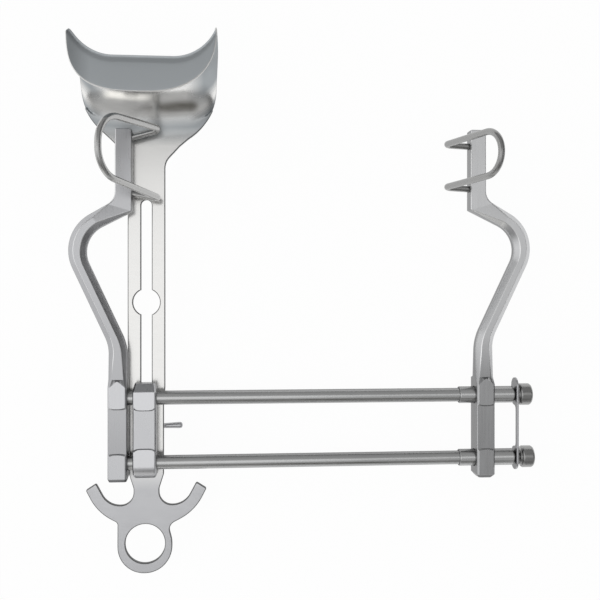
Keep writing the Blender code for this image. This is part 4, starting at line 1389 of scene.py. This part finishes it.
def flat_faces(loops, first_indices):
    """Fill a flat outline with its holes. Each loop's points are numbered from its own list."""
    numbers = np.concatenate(first_indices)
    triangles = tessellate_polygon([[tuple(point) for point in loop] for loop in loops])
    return [[int(numbers[corner]) for corner in triangle] for triangle in triangles]


def edged_plate(outline, holes, thickness, rounding):
    """Return a flat plate in XY with rounded edges, on both sides of its middle plane."""
    half = np.full((1, 1), thickness / 2)
    up = np.array((0.0, 0.0, 1.0))
    points = []
    faces = []
    fronts = []
    backs = []
    start = 0
    loops = [(outline, 1)] + [(hole, -1) for hole in holes]
    for loop, way in loops:
        inside = inward(loop) * way
        middle = loop + inside * rounding
        rings = edge_rings(middle, up, -inside, half, rounding)
        count, sides = rings.shape[:2]
        points.append(rings.reshape(-1, 3))
        faces += grid_quads(count, sides, wrap_columns=True, first=start)
        fronts.append(np.arange(sides) + start)
        backs.append(np.arange(sides) + start + (count - 1) * sides)
        start += count * sides
    flat = [loop + inward(loop) * way * rounding for loop, way in loops]
    faces += flat_faces(flat, fronts)
    faces += flat_faces(flat, backs)
    return np.vstack(points), faces


def handle_side(side, waist, shank):
    """Return one side of the handle's outline, from the seam down to the ring's foot.

    Distances are measured from the shank's middle line towards that side, 1 or -1.
    """
    narrow = shank - SHANK_NARROWING
    neck = NECK_WIDTH / 2
    ring = RING_DIAMETER / 2
    shift = side * RING_SHIFT
    turn = HORN_INNER_TIP[0] - (HORN_INNER_TIP[1] - BIGHT_BOTTOM) * HORN_SLANT
    corners = [
        (shank, SEAM_HEIGHT, 0.0),
        (shank, SHANK_NARROW_TOP, SHANK_NARROW_LENGTH),
        (narrow, SHANK_NARROW_TOP - SHANK_NARROW_LENGTH, SHANK_NARROW_LENGTH),
        (narrow, SHANK_FOOT, SHANK_FOOT_RADIUS),
        (neck, NECK_HEIGHT, NECK_RADIUS),
        (neck, BIGHT_BOTTOM, BIGHT_RADIUS),
        (turn, BIGHT_BOTTOM, BIGHT_OUTER_RADIUS),
        (*HORN_INNER_TIP, HORN_TIP_RADIUS),
        (*HORN_OUTER_TIP, HORN_TIP_RADIUS),
        (*HORN_BACK, HORN_BACK_RADIUS),
        waist,
        (shift + ring, RING_HEIGHT + ring * 0.2, ring),
        (shift + ring, RING_HEIGHT - ring, ring),
        (shift, RING_HEIGHT - ring, 0.0),
    ]
    return rounded_line(corners, 16) * (side, 1, 1)


def slot_outline(width, keyhole):
    """Return the slot with its round hole, anticlockwise, from arcs of circles."""
    slot = width / 2
    hole = keyhole / 2
    meet = math.asin(slot / hole)
    a = np.linspace(meet, math.pi - meet, 24)
    bulge = np.stack((hole * np.sin(a), KEYHOLE_HEIGHT + hole * np.cos(a)), -1)
    e = np.linspace(0, RIGHT_ANGLE, 10)
    top = np.stack((slot * np.sin(e), SLOT_TOP - slot + slot * np.cos(e)), -1)
    foot = np.stack((slot * np.cos(e), SLOT_BOTTOM + slot - slot * np.sin(e)), -1)
    right = np.vstack((top, bulge, foot))
    left = right[1:-1][::-1] * (-1, 1)
    loop = np.vstack((right, left))[::-1]
    return np.hstack((loop, np.zeros((len(loop), 1))))


def wall_line(across, flat, corner):
    """Return how far the wall lies behind its front: c - sqrt(c^2 - past^2) past the flat."""
    past = np.clip(np.abs(across) - flat, 0, 0.96 * corner)
    return corner - np.sqrt(corner**2 - past**2)


def belly(across):
    """Return how far the bend bulges forwards: depth cos^2(90 degrees across / reach)."""
    turn = np.clip(np.abs(across) / BELLY_REACH, 0, 1) * RIGHT_ANGLE
    return BELLY_DEPTH * np.cos(turn) ** 2


def flare_side(side, shank):
    """Return the flare's edge on one side, as heights and distances from the blade's middle.

    It leaves the shank over a fillet, runs up a slope and joins an ellipse,
    top - depth sqrt(1 - (x / half)^2).
    """
    half = BLADE_WIDTH / 2
    join = shank + FLARE_JOIN
    start = join - side * BLADE_SHIFT
    join_height = FLARE_TOP - FLARE_DEPTH * math.sqrt(1 - (start / half) ** 2)
    corner = join_height - FLARE_SLOPE * FLARE_JOIN
    ride = 2.5
    slope = rounded_line(
        [
            (shank - side * BLADE_SHIFT, SEAM_HEIGHT, 0),
            (shank - side * BLADE_SHIFT, corner, FLARE_FILLET),
            (start - ride, join_height - ride * FLARE_SLOPE, 0),
        ],
        16,
    )
    turn = np.linspace(math.asin((start + ride) / half), RIGHT_ANGLE, 40)
    ellipse = np.stack((half * np.sin(turn), FLARE_TOP - FLARE_DEPTH * np.cos(turn)), -1)
    return np.vstack((slope[:, :2], ellipse))


def blade_grid(shank, lip_thickness, rounding):
    """Return the blade's middle surface and half thickness as grids of rows and columns.

    Below the flare's top a row is level and spans the flare's two edges. Above it each
    column turns up through the wall bend, climbs the wall, turns over the lip bend and
    runs to the lip's edge: front + depth (1 - (1 - share^n)^(1 / n)).
    """
    half = BLADE_WIDTH / 2 - rounding
    turns = np.linspace(-RIGHT_ANGLE, RIGHT_ANGLE, BLADE_COLUMNS)
    across = half * np.sin(turns)
    share = np.abs(np.sin(turns))
    root_z = SHANK_TOP_Z - SHANK_THICKNESS / 2

    height = np.linspace(SEAM_HEIGHT, FLARE_TOP, FLARE_ROWS)[:-1, None]
    ends = []
    for side in (-1, 1):
        edge = flare_side(side, shank)
        slope = np.gradient(edge, axis=0)
        slope = slope / np.linalg.norm(slope, axis=1, keepdims=True)
        inset = edge + np.stack((-slope[:, 1], slope[:, 0]), -1) * rounding
        order = np.argsort(inset[:, 1])
        ends.append(side * np.interp(height, inset[order, 1], inset[order, 0]))
    spread = (1 + np.sin(turns)) / 2
    lower_across = ends[0] + (ends[1] - ends[0]) * spread
    bend_foot = WALL_FRONT + wall_line(lower_across, WALL_FLAT_LOW, WALL_CORNER_LOW)
    bend_foot = bend_foot - belly(lower_across) - WALL_BEND_RADIUS
    lifted = np.clip((height - bend_foot) / WALL_BEND_RADIUS, 0, STEEPEST_RISE)
    lower_z = root_z + WALL_BEND_RADIUS * (1 - np.sqrt(1 - lifted**2))
    lower_y = np.broadcast_to(height, lower_z.shape)

    low_wall = WALL_FRONT + wall_line(across, WALL_FLAT_LOW, WALL_CORNER_LOW) - belly(across)
    side = (across > 0).astype(int)
    flat = np.array(WALL_FLATS_HIGH)[side]
    high_wall = WALL_FRONT + wall_line(across, flat, np.array(WALL_CORNERS_HIGH)[side])
    top = np.array(HORN_TOPS)[side]
    high_wall = top - softened_step(top - high_wall, HORN_TOP_SOFTENING)
    bend_foot = low_wall - WALL_BEND_RADIUS
    lifted = np.clip((FLARE_TOP - bend_foot) / WALL_BEND_RADIUS, 0, STEEPEST_RISE)
    first_turn = np.arcsin(lifted)
    power = np.array(LIP_CURVES)[side]
    lip_edge = LIP_FRONT + LIP_DEPTH * (1 - (1 - share**power) ** (1 / power)) + rounding
    lip_edge = np.minimum(lip_edge, high_wall - np.array(LEAST_LIPS)[side] + rounding)
    past = np.clip((-across - half + HORN_ROUNDING) / HORN_ROUNDING, 0, 1)
    pulled = HORN_ROUNDING * (1 - np.sqrt(1 - past**2))
    high_wall = high_wall - pulled
    lip_edge = lip_edge + HORN_LIP_PULL * pulled
    lip_bend = np.minimum(LIP_BEND_RADIUS, 0.7 * (high_wall - lip_edge))

    turn = first_turn + (RIGHT_ANGLE - first_turn) * np.linspace(0, 1, 22)[:, None]
    bend_y = bend_foot + WALL_BEND_RADIUS * np.sin(turn)
    bend_z = root_z + WALL_BEND_RADIUS * (1 - np.cos(turn))
    climb = np.linspace(0, 1, 14)[1:-1, None]
    ease = climb * climb * (3 - 2 * climb)
    wall_y = low_wall + (high_wall - low_wall) * ease
    wall_start = root_z + WALL_BEND_RADIUS
    wall_z = wall_start + (WALL_HEIGHT - lip_bend - wall_start) * climb
    turn = np.linspace(0, RIGHT_ANGLE, 12)[:, None]
    over_y = high_wall - lip_bend * (1 - np.cos(turn))
    over_z = WALL_HEIGHT - lip_bend * (1 - np.sin(turn))
    travel = np.linspace(0, 1, 9)[1:, None]
    lip_y = high_wall - lip_bend + (lip_edge - high_wall + lip_bend) * travel
    lip_z = np.full_like(lip_y, WALL_HEIGHT)

    y = np.vstack((lower_y, bend_y, wall_y, over_y, lip_y))
    z = np.vstack((lower_z, bend_z, wall_z, over_z, lip_z))
    upper_rows = len(y) - len(lower_y)
    x = np.vstack((lower_across, np.broadcast_to(across, (upper_rows, len(across)))))
    rise = (z - root_z) / (WALL_HEIGHT - root_z)
    side = (x > 0).astype(int)
    lean = np.array(BLADE_SPREADS)[side] * rise
    bulge = np.array(BLADE_BULGES)[side] * 4 * rise * (1 - rise)
    x = x * (1 + (lean + bulge) / (BLADE_WIDTH / 2)) + BLADE_SHIFT
    thick = np.append(
        np.linspace(SHANK_THICKNESS, BLADE_ROOT_THICKNESS, len(lower_y)),
        np.linspace(BLADE_ROOT_THICKNESS, lip_thickness, upper_rows),
    )[:, None]
    thick = thick * (1 - BLADE_TIP_THINNING * (rise > 0.02) * share**BLADE_TIP_POWER)
    return np.stack((x, y, z), -1), thick[:, :, None] / 2


def softened_step(distance, radius):
    """Return a distance that eases to nothing: (d + sqrt(d^2 + r^2)) / 2."""
    return (distance + np.sqrt(distance**2 + radius**2)) / 2


def blade_shape(sizes):
    """Return the centre blade: the curved sheet, the slotted shank and the handle in one.

    The sheet's grid and the flat shank share the seam, and one rounded edge runs round
    the whole outline, with another round each hole.
    """
    shank = sizes.shank_width / MM / 2
    rounding = sizes.edge_rounding / MM
    grid, half = blade_grid(shank, sizes.lip_thickness / MM, rounding)
    rows, columns = grid.shape[:2]
    up_rows = np.gradient(grid, axis=0)
    sideways = np.gradient(grid, axis=1)
    normal = unit(np.cross(sideways, up_rows))
    front = grid + normal * half
    back = grid - normal * half
    root_z = SHANK_TOP_Z - SHANK_THICKNESS / 2

    left = handle_side(-1, LEFT_WAIST, shank)
    right = handle_side(1, RIGHT_WAIST, shank)[::-1]
    path = np.vstack((left, right[1:]))
    path = (path + inward(path, closed=False) * rounding)[1:-1]
    path[:, 2] = root_z
    flat_half = np.full((len(path), 1), SHANK_THICKNESS / 2)
    flat_up = np.broadcast_to(np.array((0.0, 0.0, 1.0)), path.shape)

    index = np.arange(rows * columns).reshape(rows, columns)
    border = np.concatenate((index[:, -1], index[-1, -2::-1], index[-2::-1, 0]))
    middle = np.vstack((grid.reshape(-1, 3)[border], path))
    normals = np.vstack((normal.reshape(-1, 3)[border], flat_up))
    halves = np.vstack((half.reshape(-1, 1)[border], flat_half))
    along = unit(np.roll(middle, -1, axis=0) - np.roll(middle, 1, axis=0))
    outward = unit(np.cross(along, normals))
    rings = edge_rings(middle, normals, outward, halves, rounding)

    count = len(middle)
    points = [front.reshape(-1, 3), back.reshape(-1, 3), rings.reshape(-1, 3)]
    shares = [np.zeros(2 * rows * columns), edge_share(count)]
    start = 2 * rows * columns
    faces = grid_quads(rows, columns)
    faces += grid_quads(rows, columns, first=rows * columns)
    faces += grid_quads(len(rings), count, wrap_columns=True, first=start)
    path_front = np.arange(len(border), count) + start
    path_back = path_front + (len(rings) - 1) * count
    seam = grid[0]
    flat_loops = [np.vstack((seam[::-1], path))]
    seam_front = index[0, ::-1]
    fronts = [np.concatenate((seam_front, path_front))]
    backs = [np.concatenate((seam_front + rows * columns, path_back))]
    start += len(rings) * count
    holes = (
        slot_outline(sizes.slot_width / MM, sizes.keyhole_diameter / MM),
        circle(RING_HOLE_CENTRE, sizes.ring_hole_diameter / MM / 2, 72),
    )
    up = np.array((0.0, 0.0, 1.0))
    depth = np.full((1, 1), SHANK_THICKNESS / 2)
    for hole in holes:
        hole_middle = hole - inward(hole) * rounding
        hole_middle[:, 2] = root_z
        hole_rings = edge_rings(hole_middle, up, inward(hole), depth, rounding)
        points.append(hole_rings.reshape(-1, 3))
        shares.append(edge_share(len(hole)))
        faces += grid_quads(len(hole_rings), len(hole), wrap_columns=True, first=start)
        flat_loops.append(hole_middle)
        fronts.append(np.arange(len(hole)) + start)
        backs.append(fronts[-1] + (len(hole_rings) - 1) * len(hole))
        start += hole_rings.shape[0] * hole_rings.shape[1]
    faces += flat_faces(flat_loops, fronts)
    faces += flat_faces(flat_loops, backs)
    return np.vstack(points) + (CARRIAGE_X, 0, 0), faces, np.concatenate(shares)


class RETRACTOR_OT_centre_blade(bpy.types.Operator):
    """Build the centre blade with its shank, slot, horns and finger ring"""

    bl_idname = "retractor.centre_blade"
    bl_label = "Centre blade"

    def execute(self, context):
        sizes, _, _ = settings()
        points, faces, shares = blade_shape(sizes)
        mesh = make_mesh("centre_blade", points, faces, SHEET_ANGLE, shares)
        keep_flat(add_piece("centre_blade_piece", mesh, blade_steel(), "centre_blade"))
        return {"FINISHED"}


# Studio


def studio_floor(material_colour):
    """Make the floor: white to the camera and in reflections, and still shaded."""
    material = bpy.data.materials.new("Studio floor")
    material.use_nodes = True
    tree = material.node_tree
    shader = tree.nodes["Principled BSDF"]
    shader.inputs["Base Color"].default_value = (*material_colour, 1)
    shader.inputs["Roughness"].default_value = 0.9
    shader.inputs["Specular IOR Level"].default_value = 0.0
    path = tree.nodes.new("ShaderNodeLightPath")
    seen = path.outputs["Is Camera Ray"]
    for other in ("Is Glossy Ray", "Is Transmission Ray"):
        seen = math_node(tree, "MAXIMUM", seen, path.outputs[other])
    white = tree.nodes.new("ShaderNodeEmission")
    white.inputs["Strength"].default_value = 1.05
    mix = tree.nodes.new("ShaderNodeMixShader")
    tree.links.new(math_node(tree, "MULTIPLY", seen, 0.9), mix.inputs[0])
    tree.links.new(shader.outputs[0], mix.inputs[1])
    tree.links.new(white.outputs[0], mix.inputs[2])
    tree.links.new(mix.outputs[0], tree.nodes["Material Output"].inputs["Surface"])
    return material


# Parts of the dome: a direction, the angles in degrees at which it is whole and gone, and
# its colour. Later ones cover earlier ones.
DOME_SPOTS = (
    ((0.0, -0.85, 0.5), 26, 60, (0.42, 0.42, 0.42)),
    ((0.0, 0.85, 0.5), 16, 46, (0.4, 0.4, 0.4)),
    ((-0.93, 0.1, 0.3), 16, 44, (1.0, 1.0, 1.0)),
    ((-0.62, 0.0, 0.78), 5, 15, (1.3, 1.3, 1.3)),
    ((0.31, 0.12, 0.94), 6, 14, (0.85, 0.85, 0.85)),
    ((-0.06, -0.02, 1.0), 3, 16, (0.5, 0.5, 0.5)),
    ((0.13, -0.8, 0.58), 6, 17, (0.1, 0.095, 0.085)),
    ((-0.25, -0.95, 0.16), 4, 13, (1.2, 1.18, 1.13)),
    ((0.85, -0.1, 0.5), 4, 13, (0.8, 0.8, 0.8)),
)


def spot_mask(tree, way, direction, whole, gone):
    """Return how far a direction lies inside a round spot, eased between two angles."""
    near = tree.nodes.new("ShaderNodeVectorMath")
    near.operation = "DOT_PRODUCT"
    tree.links.new(way, near.inputs[0])
    near.inputs[1].default_value = tuple(unit(np.array(direction)))
    cosines = (math.cos(math.radians(angle)) for angle in (gone, whole))
    mask = map_range(tree, near.outputs["Value"], *cosines, 0, 1)
    mask.node.interpolation_type = "SMOOTHSTEP"
    return mask


def studio_world(strength):
    """Light the studio from a dim dome with soft bright and dark spots."""
    world = bpy.data.worlds.new("Studio dome")
    world.use_nodes = True
    tree = world.node_tree
    dome = tree.nodes["Background"]
    dome.inputs["Strength"].default_value = strength
    way = tree.nodes.new("ShaderNodeTexCoord").outputs["Generated"]
    split = tree.nodes.new("ShaderNodeSeparateXYZ")
    tree.links.new(way, split.inputs[0])
    rise = map_range(tree, split.outputs["Z"], 0.0, 0.85, 0, 1)
    tone = mixed_colour(tree, rise, (0.07, 0.07, 0.07), (0.34, 0.34, 0.34))
    for direction, whole, gone, value in DOME_SPOTS:
        mask = spot_mask(tree, way, direction, whole, gone)
        tone = mixed_colour(tree, mask, tone, value)
    tree.links.new(tone, dome.inputs["Color"])
    bpy.context.scene.world = world


def add_lamp(name, place, aim, size, power):
    """Add a soft square lamp at a place in metres, pointed at an aim."""
    light = bpy.data.lights.new(name, "AREA")
    light.size = size
    light.energy = power
    lamp = bpy.data.objects.new(name, light)
    lamp.matrix_world = facing(place, aim)
    bpy.context.scene.collection.objects.link(lamp)
    return lamp


def facing(place, aim):
    """Return a placement at a point in metres whose -Z looks at an aim and whose Y is up."""
    place = np.array(place, float)
    ahead = unit(np.array(aim, float) - place)
    right = unit(np.cross(ahead, (0.0, 1.0, 0.0)))
    up = np.cross(right, ahead)
    matrix = np.eye(4)
    matrix[:3, 0] = right
    matrix[:3, 1] = up
    matrix[:3, 2] = -ahead
    matrix[:3, 3] = place
    return Matrix(matrix.tolist())


class RETRACTOR_OT_studio(bpy.types.Operator):
    """Set up the floor, the light and the camera"""

    bl_idname = "retractor.studio"
    bl_label = "Studio"

    def execute(self, context):
        _, _, studio = settings()
        square = np.array(((-1, -1, 0), (1, -1, 0), (1, 1, 0), (-1, 1, 0)))
        corners = square * FLOOR_HALF + (*FLOOR_MIDDLE, FLOOR_HEIGHT)
        mesh = bpy.data.meshes.new("floor")
        mesh.from_pydata(corners * MM, [], [[0, 1, 2, 3]])
        floor = bpy.data.objects.new("floor", mesh)
        mesh.materials.append(studio_floor(tuple(studio.floor_colour)))
        context.scene.collection.objects.link(floor)
        studio_world(studio.dome)
        add_lamp("key", (-0.15, -0.07, 1.2), (0.05, 0.05, 0), 0.9, studio.key_power)
        camera = bpy.data.objects.new("camera", bpy.data.cameras.new("camera"))
        camera.data.lens = CAMERA_LENS
        camera.data.sensor_width = 36
        camera.data.clip_start = 0.01
        camera.data.clip_end = 20
        camera.matrix_world = facing(np.array(CAMERA_PLACE) * MM, np.array(CAMERA_AIM) * MM)
        context.scene.collection.objects.link(camera)
        context.scene.camera = camera
        context.scene.view_settings.view_transform = "Standard"
        return {"FINISHED"}


class RETRACTOR_PT_panel(bpy.types.Panel):
    """List the retractor's settings and pieces"""

    bl_idname = "RETRACTOR_PT_panel"
    bl_label = "Abdominal Retractor"
    bl_space_type = "VIEW_3D"
    bl_region_type = "UI"
    bl_category = "Retractor"

    def draw(self, context):
        for group in settings():
            column = self.layout.column(align=True)
            for label in group.bl_rna.properties.keys():
                if label not in ("rna_type", "name"):
                    column.prop(group, label)
        for operator in OPERATORS:
            self.layout.operator(operator.bl_idname)


OPERATORS = (
    RETRACTOR_OT_studio,
    RETRACTOR_OT_rods,
    RETRACTOR_OT_arms,
    RETRACTOR_OT_wires,
    RETRACTOR_OT_carriage,
    RETRACTOR_OT_clamp,
    RETRACTOR_OT_end_fittings,
    RETRACTOR_OT_centre_blade,
)
GROUPS = (
    ("retractor_sizes", RetractorSizes),
    ("retractor_finishes", RetractorFinishes),
    ("retractor_studio", RetractorStudio),
)


def register():
    """Make the settings, operators and panel known."""
    for label, group in GROUPS:
        bpy.utils.register_class(group)
        setattr(bpy.types.Scene, label, PointerProperty(type=group))
    for kind in (*OPERATORS, RETRACTOR_PT_panel):
        bpy.utils.register_class(kind)


def unregister():
    """Take the settings, operators and panel away again."""
    for kind in (RETRACTOR_PT_panel, *reversed(OPERATORS)):
        bpy.utils.unregister_class(kind)
    for label, group in reversed(GROUPS):
        delattr(bpy.types.Scene, label)
        bpy.utils.unregister_class(group)


def main():
    """Register the settings and build the studio and every piece."""
    register()
    bpy.ops.retractor.studio()
    bpy.ops.retractor.rods()
    bpy.ops.retractor.arms()
    bpy.ops.retractor.wires()
    bpy.ops.retractor.carriage()
    bpy.ops.retractor.clamp()
    bpy.ops.retractor.end_fittings()
    bpy.ops.retractor.centre_blade()


if __name__ == "__main__":
    main()
